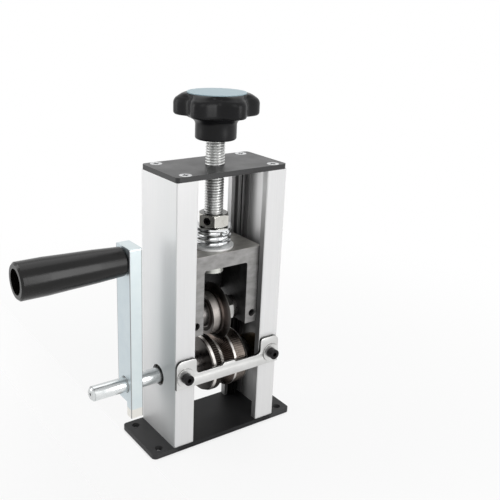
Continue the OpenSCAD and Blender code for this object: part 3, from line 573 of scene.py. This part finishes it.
def shaft_chrome():
    """Bright zinc on the ground shaft with a painted reflection, greyer where it faces up and where it faces
    down. A darker chamfered tip with a darker ring where the chamfer ends, and painted shade in its dimple
    and in gaps."""
    f = Finish("shaft_chrome", Metallic=1.0)
    tip_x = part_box("drive_shaft")[0].x
    tip_l, dimple_r, dimple_fade, gap = 4 * MM, 1.2 * MM, 0.3 * MM, 3 * MM
    cloud = f.noise(140)
    bright = f.between(cloud, (0.68, 0.71, 0.715), (0.8, 0.815, 0.815))
    # Painted reflection: greyer where the shaft faces up
    upper_reflection = f.mix(f.rise(f.upward(), 0.86, 0.95), (0.47, 0.485, 0.49), (0.6, 0.62, 0.625))
    tone = f.mix(f.rise(f.upward(), 0.52, 0.66), bright, upper_reflection)
    # Painted reflection: greyer where it faces down
    tone = f.mix(f.rise(f.upward(), -0.6, -0.98), tone, (0.46, 0.47, 0.47))
    from_tip = f.rise(f.axis(0), tip_x, tip_x + tip_l, "LINEAR")
    tone = f.times(tone, f.ramp(from_tip, [(0.0, 0.8), (0.06, 0.9), (0.3, 0.9), (0.36, 0.6), (0.46, 1.0)]))
    # Painted shade in the centre dimple
    dimple = f.rise(f.radius_from(SHAFT_Z), dimple_r, dimple_r - dimple_fade)
    tone = f.mix(dimple, tone, (0.04, 0.04, 0.042))
    # Painted shade in gaps at its neighbours
    f.colour(f.mix(f.creases(gap), (0.05, 0.05, 0.052), tone))
    f.rough(f.between(cloud, 0.2, 0.27))
    return f


def thread_steel():
    """Bright thread with painted shade in its roots, duller towards the top plate."""
    f = Finish("thread_steel", Metallic=1.0)
    root_r, crest_r = 5.36 * MM, 5.72 * MM
    fade_from, fade_to = 140 * MM, 180 * MM
    cloud = f.noise(160)
    crest = f.between(cloud, (0.72, 0.73, 0.72), (0.84, 0.84, 0.83))
    fade = f.rise(f.axis(2), fade_from, fade_to, "LINEAR")
    crest = f.times(crest, f.ramp(fade, [(0.0, 1.0), (1.0, 0.86)]))
    r = f.length(f.axis(0), f.axis(1))
    # Painted shade in the thread's roots
    f.colour(f.mix(f.rise(r, root_r, crest_r), (0.34, 0.34, 0.335), crest))
    f.rough(f.between(cloud, 0.34, 0.44))
    return f


def bright_nut():
    """Pale plated nut of the cutter's axle, with painted shade on the flats that face up."""
    f = Finish("bright_nut", Metallic=0.6)
    tone = f.between(f.noise(110, 4), (0.6, 0.6, 0.585), (0.68, 0.68, 0.665))
    # Painted shade on the flats that face up
    f.colour(f.mix(f.rise(f.upward(), 0.3, 0.45), tone, (0.06, 0.058, 0.055)))
    f.rough(f.between(f.noise(700), 0.38, 0.46))
    return f


def turned_nut():
    """Oily steel of the stop nut, bright on its flats, with painted shade on its turned top and in its
    creases.
    """
    f = Finish("stop_nut_steel", Metallic=1.0)
    top_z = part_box("stop_nut")[1].z
    top_from, top_to, gap = 0.25 * MM, 0.1 * MM, 0.6 * MM
    flats = f.between(f.noise(110, 4), (0.5, 0.49, 0.46), (0.66, 0.65, 0.61))
    # Painted shade on the turned top
    turned = f.between(f.noise(180, 4), (0.1, 0.1, 0.095), (0.2, 0.2, 0.19))
    tone = f.mix(f.rise(f.axis(2), top_z - top_from, top_z - top_to), flats, turned)
    # Painted shade in creases
    f.colour(f.mix(f.creases(gap), (0.06, 0.06, 0.055), tone))
    f.rough(f.between(f.noise(900), 0.14, 0.24))
    return f


KNURL_TEETH = 78


def roller_steel():
    """Dark knurled steel, by place along the roller: its own dark and brown bands, with painted highlights on
    the rims, painted light and shade on the groove and lands, and painted shade in the tooth roots.
    """
    f = Finish("knurled_steel", Metallic=1.0)
    low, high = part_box("feed_roller")
    along = f.rise(f.axis(0), low.x, high.x, "LINEAR")

    def at(mm):
        return mm * MM / (high.x - low.x)

    # Bands along the roller: the steel's dark and brown tones, painted highlights on the rims, and painted
    # light and shade on the groove and lands
    end, rim_highlight = (0.13, 0.12, 0.112), (0.78, 0.75, 0.72)
    bands = f.bands(along, [
        (0.0, end), (at(0.8), rim_highlight), (at(2.3), (0.04, 0.035, 0.031)), (at(6.6), (0.11, 0.092, 0.08)),
        (at(10.7), (0.62, 0.6, 0.57)), (at(12.9), (0.26, 0.21, 0.185)), (at(16.5), (0.3, 0.26, 0.24)),
        (at(16.95), rim_highlight), (at(18.4), (0.2, 0.172, 0.152)), (at(25.7), (0.02, 0.018, 0.016)),
        (at(26.3), (0.5, 0.48, 0.46)), (at(27.6), end)])
    # Painted shade in the roots of the teeth
    around = f.math("ARCTAN2", f.axis(1), f.math("SUBTRACT", f.axis(2), SHAFT_Z))
    in_root = f.rise(f.math("COSINE", f.math("MULTIPLY", around, KNURL_TEETH)), -0.6, 0.6)
    left_teeth = f.both(f.rise(along, at(2.65), at(2.8)), f.rise(along, at(16.6), at(16.4)))
    right_teeth = f.both(f.rise(along, at(18.6), at(18.8)), f.rise(along, at(25.9), at(25.6)))
    root_shade = f.mix(f.rise(along, at(18.4), at(18.6)), f.times(bands, (0.38, 0.36, 0.34)),
                 f.times(bands, (0.8, 0.78, 0.76)))
    tone = f.mix(f.math("ADD", left_teeth, right_teeth), bands, f.mix(in_root, bands, root_shade))
    stain = f.noise(240, 4)
    f.colour(f.times(tone, f.between(stain, 0.6, 1.05)))
    f.rough(f.between(stain, 0.24, 0.42))
    return f


def make_materials():
    """Every finish's material, by the finish's name."""
    made = [
        brushed_column(),
        black_plate("black_plate", 0.5, 0.36),
        black_plate("dull_plate", 0.16, 0.5, shade_reach=36 * MM),
        plated("bright_screws", (0.55, 0.56, 0.57), (0.74, 0.75, 0.76), (0.18, 0.3), crease=0.8 * MM),
        plated("bright_steel", (0.58, 0.58, 0.572), (0.68, 0.68, 0.67), (0.3, 0.44), 1200, (0.06, 1, 1),
               crease=1.2 * MM),
        # Bronze darkened by painted shade, as the bushings sit inside the columns; the left one darker still,
        # painted shade in the column's shaft hole
        plated("bronze", (0.09, 0.062, 0.03), (0.17, 0.12, 0.06), (0.25, 0.42), crease=2 * MM),
        plated("shaded_bronze", (0.03, 0.026, 0.021), (0.06, 0.052, 0.042), (0.3, 0.45), crease=2 * MM),
        plated("machined_steel", (0.12, 0.115, 0.11), (0.2, 0.19, 0.185), (0.24, 0.4)),
        plated("black_screws", (0.016, 0.0155, 0.016), (0.034, 0.033, 0.034), (0.25, 0.4)),
        plated("spring_chrome", (0.72, 0.74, 0.75), (0.85, 0.86, 0.87), (0.06, 0.14), depth=0,
               crease=1.5 * MM),
        plated("bearing_steel", (0.25, 0.232, 0.218), (0.34, 0.315, 0.298), (0.4, 0.52)),
        plated("collar_zinc", (0.6, 0.61, 0.57), (0.74, 0.75, 0.7), (0.32, 0.44), metallic=0.55),
        plated("washer_zinc", (0.82, 0.83, 0.83), (0.92, 0.925, 0.92), (0.26, 0.36), depth=0, metallic=0.3),
        moulded("black_plastic", (0.006, 0.006, 0.0065), (0.010, 0.010, 0.011)),
        moulded("grip_plastic", (0.0022, 0.002, 0.002), (0.0046, 0.0042, 0.004), (0.2, 0.27), specular=0.31),
        moulded("blue_plastic", (0.37, 0.51, 0.57), (0.42, 0.555, 0.61), (0.3, 0.36),
               depth=0.01 * MM),
        moulded("dark_seal", (0.018, 0.012, 0.009), (0.034, 0.023, 0.018), (0.4, 0.55)),
        cast_block(),
        cutter_steel(),
        cut_bar(),
        zinc_bar(),
        shaft_chrome(),
        thread_steel(),
        turned_nut(),
        bright_nut(),
        roller_steel(),
    ]
    return {finish.name: finish.material for finish in made}


# Nodes whose finish is a closer match than the one their slot shares
OWN_FINISH = {
    "axle_nut": "bright_nut",
    "base_plate": "dull_plate",
    "crank_arm": "crank_zinc",
    "cutting_disc": "cutter_steel",
    "drive_shaft": "shaft_chrome",
    "handle_grip": "grip_plastic",
    # Painted shade: the left bushing sits in the column's shaft hole
    "left_bushing": "shaded_bronze",
    "lower_washer": "washer_zinc",
    "screw_collar": "collar_zinc",
    "stop_nut": "stop_nut_steel",
    "upper_washer": "spring_chrome",
}


def dress_nodes(materials):
    """Each CAD node gets the finish of its slot, or its own closer match."""
    slots = {row["node"]: row["material_slot"] for row in frame["record"]["subparts"]}
    for name, node in frame["nodes"].items():
        node.data.materials.clear()
        node.data.materials.append(materials[OWN_FINISH.get(name, slots[name])])


# Pieces

SCREW_PITCH = 1.75 * MM
THREAD_DEPTH = 0.62 * MM
THREAD_ROOT_SHARE = 0.92
THREAD_FLANK_SHARE = 0.72


def thread_height(phase):
    """Share of the thread's depth at a place along one pitch: a flat crest between slanted flanks."""
    off_crest = abs((phase % 1.0) - 0.5) * 2
    return max(0.0, min(1.0, (THREAD_ROOT_SHARE - off_crest) / THREAD_FLANK_SHARE))


def make_screw(materials):
    """The feed screw with a real right-hand thread, in place of its plain rod."""
    low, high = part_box("feed_screw")
    journal_r, chamfer, seam = 4 * MM, 1 * MM, 0.05 * MM
    shoulder_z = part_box("screw_collar")[1].z + seam
    sides, rows_per_pitch = 64, 10
    rows = int((high.z - shoulder_z) / (SCREW_PITCH / rows_per_pitch))
    place = along_z()
    rings = [[place(journal_r, a, z) for a in full_turn(sides)] for z in (low.z, shoulder_z)]
    for i in range(rows + 1):
        z = shoulder_z + (high.z - shoulder_z) * i / rows
        widest = high.x - max(0.0, z - (high.z - chamfer))
        ring = []
        for a in full_turn(sides):
            depth = THREAD_DEPTH * (1 - thread_height(z / SCREW_PITCH - a / TAU))
            ring.append(place(min(high.x - depth, widest), a, z))
        rings.append(ring)
    new_piece("feed_screw_thread", loop_grid(rings), "screw", materials["thread_steel"],
              smooth_deg=35, replaces="feed_screw")


KNOB_LOBES = 6
KNOB_VALLEY_SHARE = 0.215
KNOB_VALLEY_POWER = 1.15


def knob_scallop(angle):
    """Share of the full radius at this angle: broad lobes, with a narrower valley at each sixth of a turn."""
    wave = (1 + math.cos(KNOB_LOBES * angle)) / 2
    return 1 - KNOB_VALLEY_SHARE * wave ** KNOB_VALLEY_POWER


def knob_outline(outer, h, cap_r, cap_rim):
    """From the top of the bore down, round the outside and to the middle of the cap's seat, as radius,
    height and the share of the lobes that the place takes part in."""
    screw_r, screw_top = 6.06 * MM, 19.05 * MM
    insert_r, insert_top, insert_ease = 8.56 * MM, 17.05 * MM, 0.3 * MM
    hub_r, hub_round, hub_z, neck_z = 12.7 * MM, 1.2 * MM, 0.2 * h, 0.33 * h
    flare_r, flare_h, flare_steps, flare_pace = 0.93 * outer, 0.2 * h, 8, 1.15
    edge, edge_deg, shoulder, shoulder_deg = 1.9 * MM, -75, 4.4 * MM, 62
    crown_z, crown_steps, crown_fade = 0.935 * h, 7, 0.75
    cap_ease, cap_depth = 0.1 * MM, 0.6 * MM
    outline = [(0, screw_top, 0), (screw_r, screw_top, 0), (screw_r, insert_top, 0),
               (insert_r, insert_top, 0), (insert_r, insert_ease, 0), (insert_r + insert_ease, 0, 0)]
    outline += [(r, z, 0) for r, z in arc_points(hub_r - hub_round, hub_round, hub_round, -90, 0, 5)]
    outline += [(hub_r, hub_z, 0), (hub_r, neck_z, 0)]
    for i in range(1, flare_steps + 1):
        t = i / flare_steps
        r = hub_r + (flare_r - hub_r) * (1 - math.cos(t * math.pi / 2))
        outline.append((r, neck_z + flare_h * math.sin(t * math.pi / 2), smooth_step(t * flare_pace)))
    under = arc_points(outer - edge, neck_z + flare_h + edge, edge, edge_deg, 0, 5)
    over = arc_points(outer - shoulder, crown_z - shoulder, shoulder, 0, shoulder_deg, 9)
    outline += [(r, z, 1) for r, z in under + over]
    start_r, start_z = over[-1]
    for i in range(1, crown_steps + 1):
        t = i / crown_steps
        outline.append((start_r + (cap_r + cap_rim - start_r) * t,
                        start_z + (h - start_z) * math.sin(t * math.pi / 2), 1 - crown_fade * smooth_step(t)))
    outline += [(cap_r + cap_ease, h - cap_ease, 0), (cap_r, h - cap_depth, 0), (0, h - cap_depth, 0)]
    return outline


def make_knob(materials):
    """The star knob with rounded lobes, in place of its plain solid."""
    low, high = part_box("star_knob")
    cap_r, cap_rim = 18.05 * MM, 0.5 * MM
    least_share, sides_per_lobe = 0.2, 36
    outline = knob_outline(max(high.x, high.y), high.z - low.z, cap_r, cap_rim)
    shares = [share for _, _, share in outline]

    def shaped(r, z, angle, index):
        if shares[index] <= least_share:
            return r
        scalloped = r * (1 - (1 - knob_scallop(angle)) * shares[index])
        return max(scalloped, min(r, cap_r + cap_rim))

    shape = revolve([(r, z) for r, z, _ in outline], KNOB_LOBES * sides_per_lobe, along_z(low.z), shaped)
    new_piece("star_knob_moulding", shape, "screw", materials["black_plastic"],
              smooth_deg=50, replaces="star_knob")


def make_spring(materials):
    """The pressure spring as a smooth round wire, in place of its coarse one."""
    low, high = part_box("pressure_spring")
    wire_r, outer_r = 1.3 * MM, 11.6 * MM
    mean_r = outer_r - wire_r
    turns, start = 2.3, math.radians(150)
    steps, sides = 150, 16
    bottom, top = low.z + wire_r, high.z - wire_r
    lean = math.atan2(top - bottom, TAU * mean_r * turns)
    rings = []
    for i in range(steps + 1):
        a = start + TAU * turns * i / steps
        out = Vector((math.cos(a), math.sin(a), 0))
        up = Vector((math.sin(a) * math.sin(lean), -math.cos(a) * math.sin(lean), math.cos(lean)))
        centre = mean_r * out + (bottom + (top - bottom) * i / steps) * UP
        rings.append([centre + wire_r * (math.cos(b) * out + math.sin(b) * up) for b in full_turn(sides)])
    piece = new_piece("pressure_spring_wire", loop_grid(rings), None, materials["spring_chrome"],
                      smooth_deg=50, replaces="pressure_spring")
    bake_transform(piece)


def make_shaft(materials):
    """The drive shaft with a chamfered, centre-drilled free end, in place of its plain bar."""
    low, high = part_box("drive_shaft")
    radius, end_r = (high.z - low.z) / 2, 4.8 * MM
    chamfer, soft, seam, sides = 1.4 * MM, 0.12 * MM, 0.05 * MM, 96
    seat_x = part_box("crank_arm")[0].x - seam
    dimple_r, dimple_depth, dimple_lip = 0.9 * MM, 0.9 * MM, 0.2 * MM
    outline = [(0, low.x + dimple_depth), (dimple_r, low.x + dimple_lip), (dimple_r + dimple_lip, low.x),
               (end_r - chamfer - soft, low.x), (end_r - chamfer + soft, low.x + soft),
               (end_r - soft, low.x + chamfer - soft), (end_r, low.x + chamfer + soft),
               (end_r, seat_x), (radius - soft, seat_x), (radius, seat_x + soft),
               (radius, high.x - soft), (radius - soft, high.x), (0, high.x)]
    new_piece("drive_shaft_bar", revolve(outline, sides, along_x(SHAFT_Z)), "drive",
              materials["shaft_chrome"], smooth_deg=30, replaces="drive_shaft")


def drill_hole(piece, centre, radius, reach, turn, sides=32):
    """Cuts a round hole into a piece, level and in the direction of turn. It spans this reach of
    distances from the centre."""
    place = Matrix.Translation(centre) @ Matrix.Rotation(turn, 4, "Z")
    rings = [[place @ Vector((x, radius * math.cos(a), radius * math.sin(a))) for a in full_turn(sides)]
             for x in reach]
    verts, faces = loop_grid(rings)
    mesh = bpy.data.meshes.new("drill")
    mesh.from_pydata([tuple(v) for v in verts], [], faces)
    drill = in_scene("drill", mesh)
    cut = piece.modifiers.new("hole", "BOOLEAN")
    cut.operation, cut.object = "DIFFERENCE", drill
    bored = bpy.data.meshes.new_from_object(piece.evaluated_get(bpy.context.evaluated_depsgraph_get()))
    piece.modifiers.remove(cut)
    piece.data = bored
    bpy.data.objects.remove(drill)


def make_stop_nut(materials):
    """The stop nut with turned chamfers and its set screw's hole, in place of its plain hexagon."""
    low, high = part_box("stop_nut")
    screw_low, screw_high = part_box("stop_nut_set_screw")
    screw = middle("stop_nut_set_screw")
    turn = math.atan2(screw.y, screw.x)
    apothem, bore, face_r, seam = 9 * MM, 6.06 * MM, 8.7 * MM, 0.05 * MM
    chamfer, flat_turn = math.radians(30), math.radians(60)
    inward, outward = 1 * MM, 3 * MM
    sides, smooth_deg = 144, 5
    depths = [0.25 * MM, 0.5 * MM, 0.8 * MM, 1.2 * MM]
    outline = [(bore, low.z), (face_r, low.z)]
    outline += [(apothem, low.z + d) for d in depths]
    outline += [(apothem, high.z - d) for d in reversed(depths)]
    outline += [(face_r, high.z), (bore, high.z)]

    def hexagon(r, z, angle, index):
        if r < apothem:
            return r
        off_flat = (angle + flat_turn / 2) % flat_turn - flat_turn / 2
        cone = face_r + min(z - low.z, high.z - z) / math.tan(chamfer)
        return min(apothem / math.cos(off_flat), cone)

    piece = new_piece("stop_nut_chamfered", revolve(outline, sides, along_z(0, turn), hexagon), "screw",
                      materials["stop_nut_steel"], smooth_deg, replaces="stop_nut")
    hole_r = (screw_high.z - screw_low.z) / 2 + seam
    drill_hole(piece, (0, 0, screw.z), hole_r, (bore - inward, apothem + outward), turn)
    piece.data.set_sharp_from_angle(angle=math.radians(smooth_deg))


def make_slot_bridge(materials):
    """Closes the head of the blade's slot in the block's rear wall, clear of the disc."""
    back_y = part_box("sliding_block")[1].y
    disc_low, disc_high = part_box("cutting_disc")
    wall_t, slot_gap, seam, clear = 4 * MM, 1 * MM, 0.02 * MM, 1 * MM
    x0, x1 = disc_low.x - slot_gap + seam, disc_high.x + slot_gap - seam
    top = disc_high.z - seam
    rings = []
    for y in (back_y - wall_t + seam, back_y - seam):
        under = DISC_Z + math.sqrt((disc_high.z - DISC_Z) ** 2 - y ** 2) + clear
        rings.append([(x0, y, under), (x1, y, under), (x1, y, top), (x0, y, top)])
    new_piece("block_slot_bridge", loop_grid(rings), "block", materials["block_steel"])


def outline_plate(name, outlines, depth, eased):
    """Vertices and faces of a flat plate with eased edges: the first outline, less the others."""
    data = bpy.data.curves.new(name, "CURVE")
    data.dimensions = "2D"
    data.fill_mode = "BOTH"
    data.extrude = depth / 2 - eased
    data.bevel_depth = eased
    data.bevel_resolution = 1
    data.offset = -eased
    for points in outlines:
        spline = data.splines.new("POLY")
        spline.points.add(len(points) - 1)
        for point, (x, z) in zip(spline.points, points):
            point.co = (x, z, 0, 1)
        spline.use_cyclic_u = True
    flat = in_scene(name, data)
    mesh = bpy.data.meshes.new_from_object(flat.evaluated_get(bpy.context.evaluated_depsgraph_get()))
    verts, faces = [v.co.copy() for v in mesh.vertices], [tuple(p.vertices) for p in mesh.polygons]
    bpy.data.objects.remove(flat)
    bpy.data.curves.remove(data)
    bpy.data.meshes.remove(mesh)
    return verts, faces


def make_guide_bar(materials):
    """The guide bar as one bent outline with eased edges, in place of its plain plate."""
    low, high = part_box("guide_bar")
    screw_low, screw_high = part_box("guide_bar_screws")
    inner_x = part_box("right_column")[0].x
    rest_z = low.z + 8.5 * MM
    rest_w, rest_h, rest_slope = 7.6 * MM, 1.6 * MM, 1.5 * MM
    outer_r, top_r, inner_r = 4.5 * MM, 2.4 * MM, 2.8 * MM
    eased, merge = 0.15 * MM, 0.002 * MM
    head_r, hole_r = (screw_high.z - screw_low.z) / 2, 2.2 * MM
    hole_x, hole_z = screw_high.x - head_r, middle("guide_bar_screws").z
    half = [(rest_w / 2, rest_z + rest_h), (rest_w / 2 + rest_slope, rest_z)]
    half += arc_points(inner_x - inner_r, rest_z + inner_r, inner_r, -90, 0, 6)
    half += arc_points(inner_x + top_r, high.z - top_r, top_r, 180, 90, 6)
    half += arc_points(high.x - outer_r, high.z - outer_r, outer_r, 90, 0, 8)
    half += [(high.x, low.z)]
    outline = half + [(-x, z) for x, z in reversed(half)]
    holes = [ring_points(x, hole_z, hole_r) for x in (hole_x, -hole_x)]
    verts, faces = outline_plate("guide_bar_outline", [outline] + holes, high.y - low.y, eased)
    middle_y = (low.y + high.y) / 2
    upright = [(v.x, middle_y - v.z, v.y) for v in verts]
    piece = new_piece("guide_bar_plate", (upright, faces), "frame", materials["bar_steel"],
                      replaces="guide_bar")
    weld = piece.modifiers.new("weld", "WELD")
    weld.merge_threshold = merge


def roller_outline(radius, left, hub_end):
    """From the bore's left end over the lands and the groove to its right end, as radius, place along
    the axis and tooth depth."""
    bevel_w, bevel_depth, land_w, width = 2.6 * MM, 1.0 * MM, 4.1 * MM, 28 * MM
    groove_w, groove_depth, floor_w, rim_w = 10.2 * MM, 6.8 * MM, 1.6 * MM, 1.8 * MM
    bore, hub_r, hub_ease = 5.06 * MM, 10 * MM, 0.5 * MM
    tooth, floor_tooth_share, land_tooth_share = 0.34 * MM, 0.65, 0.25
    land_drop, collar_drop, collar_share, edge_share = 0.15 * MM, 0.5 * MM, 0.7, 0.6
    seam, step, flank_steps = 0.01 * MM, 0.05 * MM, 10
    right = left + width
    groove_l = left + bevel_w + land_w
    groove_r = groove_l + groove_w
    floor_l = groove_l + (groove_w - floor_w) / 2
    floor_r = floor_l + floor_w
    land_l, land_r = groove_r + rim_w, right - bevel_w * collar_share
    outline = [(bore, left, 0), (radius - bevel_depth, left, 0), (radius, left + bevel_w, 0),
               (radius, left + bevel_w + seam, tooth)]
    outline += [(radius, left + bevel_w + land_w * t, tooth) for t in (0.25, 0.5, 0.75, 0.97)]
    outline += [(radius - tooth, groove_l + step, tooth)]
    for i in range(1, flank_steps + 1):
        t = i / flank_steps
        outline.append((radius - tooth - (groove_depth - tooth) * t, groove_l + (floor_l - groove_l) * t,
                        tooth * (1 - (1 - floor_tooth_share) * t)))
    for i in range(flank_steps + 1):
        t = i / flank_steps
        depth = tooth * (floor_tooth_share + (1 - floor_tooth_share) * t) if i < flank_steps else 0
        outline.append((radius - groove_depth * (1 - t), floor_r + (groove_r - floor_r) * t, depth))
    land_tooth = tooth * land_tooth_share
    outline += [(radius, land_l, 0), (radius - land_drop, land_l + step, land_tooth)]
    outline += [(radius - land_drop, land_l + (land_r - land_l) * t, land_tooth)
                for t in (0.25, 0.5, 0.75, 0.98)]
    outline += [(radius - collar_drop, land_r, 0), (radius - step, right - bevel_w * edge_share, 0),
                (radius - bevel_depth, right, 0), (hub_r, right, 0), (hub_r, hub_end - hub_ease, 0),
                (hub_r - hub_ease, hub_end, 0), (bore, hub_end, 0)]
    return outline


def make_roller(materials):
    """The feed roller with its knurled lands and toothed vee groove, in place of its smooth solid."""
    low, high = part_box("feed_roller")
    outline = roller_outline(high.y, low.x, high.x)
    depths = [depth for _, _, depth in outline]
    knurl_share, steps_per_tooth = 0.9, 8

    def toothed(r, x, angle, index):
        if depths[index] == 0:
            return r
        wave = abs(((KNURL_TEETH * angle / TAU) % 1.0) - 0.5) * 2
        return r - depths[index] * knurl_share * smooth_step(wave)

    shape = revolve([(r, x) for r, x, _ in outline], KNURL_TEETH * steps_per_tooth,
                    along_x(middle("feed_roller").z), toothed)
    new_piece("feed_roller_knurled", shape, "drive", materials["knurled_steel"],
              smooth_deg=42, replaces="feed_roller")


# Floor, light and background

FLOOR_SIZE = 6.0
FLOOR_DROP = 0.08
FLOOR_GAP = 0.2 * MM
BENCH_OVERHANG = 1.5 * MM
SHADOW_NEAR, SHADOW_FAR, SHADOW_SHARE = 0.08, 0.45, 0.15
CONTACT_SHADOW = 6 * MM
BELOW_FROM, BELOW_TO = -0.2 * MM, -0.6 * MM
WORLD_STRENGTH = 0.46
WHITE_STRENGTH = 1.0
WHITE = (1, 1, 1, 1)
OBJECT_MIDDLE, MECHANISM = (0, 0, 0.1), (0, 0, 0.15)

# Each lamp's name, place, target, width and height, and watts
LAMPS = [
    ("key", (-0.55, -0.85, 0.9), OBJECT_MIDDLE, (0.7, 0.7), 2.2),
    ("front", (0.22, -0.68, 0.29), MECHANISM, (0.28, 0.56), 2.1),
    ("left", (-0.85, 0.65, 0.35), OBJECT_MIDDLE, (0.35, 0.8), 3),
    ("top", (0.1, 0.3, 1.1), OBJECT_MIDDLE, (0.8, 0.8), 2),
]


def seen_directly(tree):
    """1 for the camera's, glossy and transmission rays, which see a white background, and else 0."""
    path = tree.nodes.new("ShaderNodeLightPath")
    seen = path.outputs["Is Camera Ray"]
    for other in ("Is Glossy Ray", "Is Transmission Ray"):
        either = tree.nodes.new("ShaderNodeMath")
        either.operation = "MAXIMUM"
        tree.links.new(seen, either.inputs[0])
        tree.links.new(path.outputs[other], either.inputs[1])
        seen = either.outputs["Value"]
    return seen


def pale_floor():
    """Pale floor that looks white where nothing shades it, more purely so far from the object."""
    f = Finish("floor", Roughness=0.8)
    f.colour(f.between(f.noise(3, 2), 0.80, 0.82))
    white = f.node("ShaderNodeEmission")
    white.inputs["Color"].default_value = WHITE
    white.inputs["Strength"].default_value = WHITE_STRENGTH
    far = f.rise(f.length(f.axis(0), f.axis(1)), SHADOW_NEAR, SHADOW_FAR)
    share = f.math("ADD", f.math("MULTIPLY", far, SHADOW_SHARE), 1 - SHADOW_SHARE)
    share = f.math("MULTIPLY", seen_directly(f.tree), share)
    below = f.rise(f.axis(2), BELOW_FROM, BELOW_TO)
    share = f.math("MULTIPLY", share, f.math("MAXIMUM", f.creases(CONTACT_SHADOW, 0.2, 0.6), below))
    mix = f.node("ShaderNodeMixShader")
    for source, target in zip((share, f.shader.outputs[0], white.outputs[0]), mix.inputs):
        f.link(source, target)
    f.link(mix.outputs[0], f.tree.nodes["Material Output"].inputs["Surface"])
    return f


def make_stage():
    """A pale bench whose left edge is at the base, because the crank swings below the bench top there."""
    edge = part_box("base_plate")[0].x - BENCH_OVERHANG
    profile = [(FLOOR_SIZE, 0), (edge, 0), (edge, -FLOOR_DROP), (-FLOOR_SIZE, -FLOOR_DROP)]
    verts = [(x, y, z) for x, z in profile for y in (-FLOOR_SIZE, FLOOR_SIZE)]
    faces = [(2 * i, 2 * i + 1, 2 * i + 3, 2 * i + 2) for i in range(len(profile) - 1)]
    mesh = bpy.data.meshes.new("floor")
    mesh.from_pydata(verts, [], faces)
    mesh.materials.append(pale_floor().material)
    floor = in_scene("floor", mesh)
    floor.location.z = -FLOOR_GAP


def area_light(name, place, target, size, watts):
    """A soft rectangular lamp that faces its target."""
    data = bpy.data.lights.new(name, "AREA")
    data.shape = "RECTANGLE"
    data.size, data.size_y = size
    data.energy = watts
    light = in_scene(name, data)
    light.location = place
    light.rotation_mode = "QUATERNION"
    light.rotation_quaternion = (Vector(target) - Vector(place)).to_track_quat("-Z", "Y")


def make_light():
    """A dim white room that the camera and reflections see at full white, and the lamps."""
    world = bpy.data.worlds.new("world")
    bpy.context.scene.world = world
    world.use_nodes = True
    tree = world.node_tree
    background = tree.nodes["Background"]
    background.inputs["Color"].default_value = WHITE
    strength = tree.nodes.new("ShaderNodeMapRange")
    strength.inputs["To Min"].default_value = WORLD_STRENGTH
    strength.inputs["To Max"].default_value = WHITE_STRENGTH
    tree.links.new(seen_directly(tree), strength.inputs["Value"])
    tree.links.new(strength.outputs["Result"], background.inputs["Strength"])
    for lamp in LAMPS:
        area_light(*lamp)


def main():
    bpy.context.scene.view_settings.view_transform = "Standard"
    make_camera()
    materials = make_materials()
    dress_nodes(materials)
    make_screw(materials)
    make_knob(materials)
    make_spring(materials)
    make_roller(materials)
    make_guide_bar(materials)
    make_shaft(materials)
    make_slot_bridge(materials)
    make_stop_nut(materials)
    make_stage()
    make_light()


main()
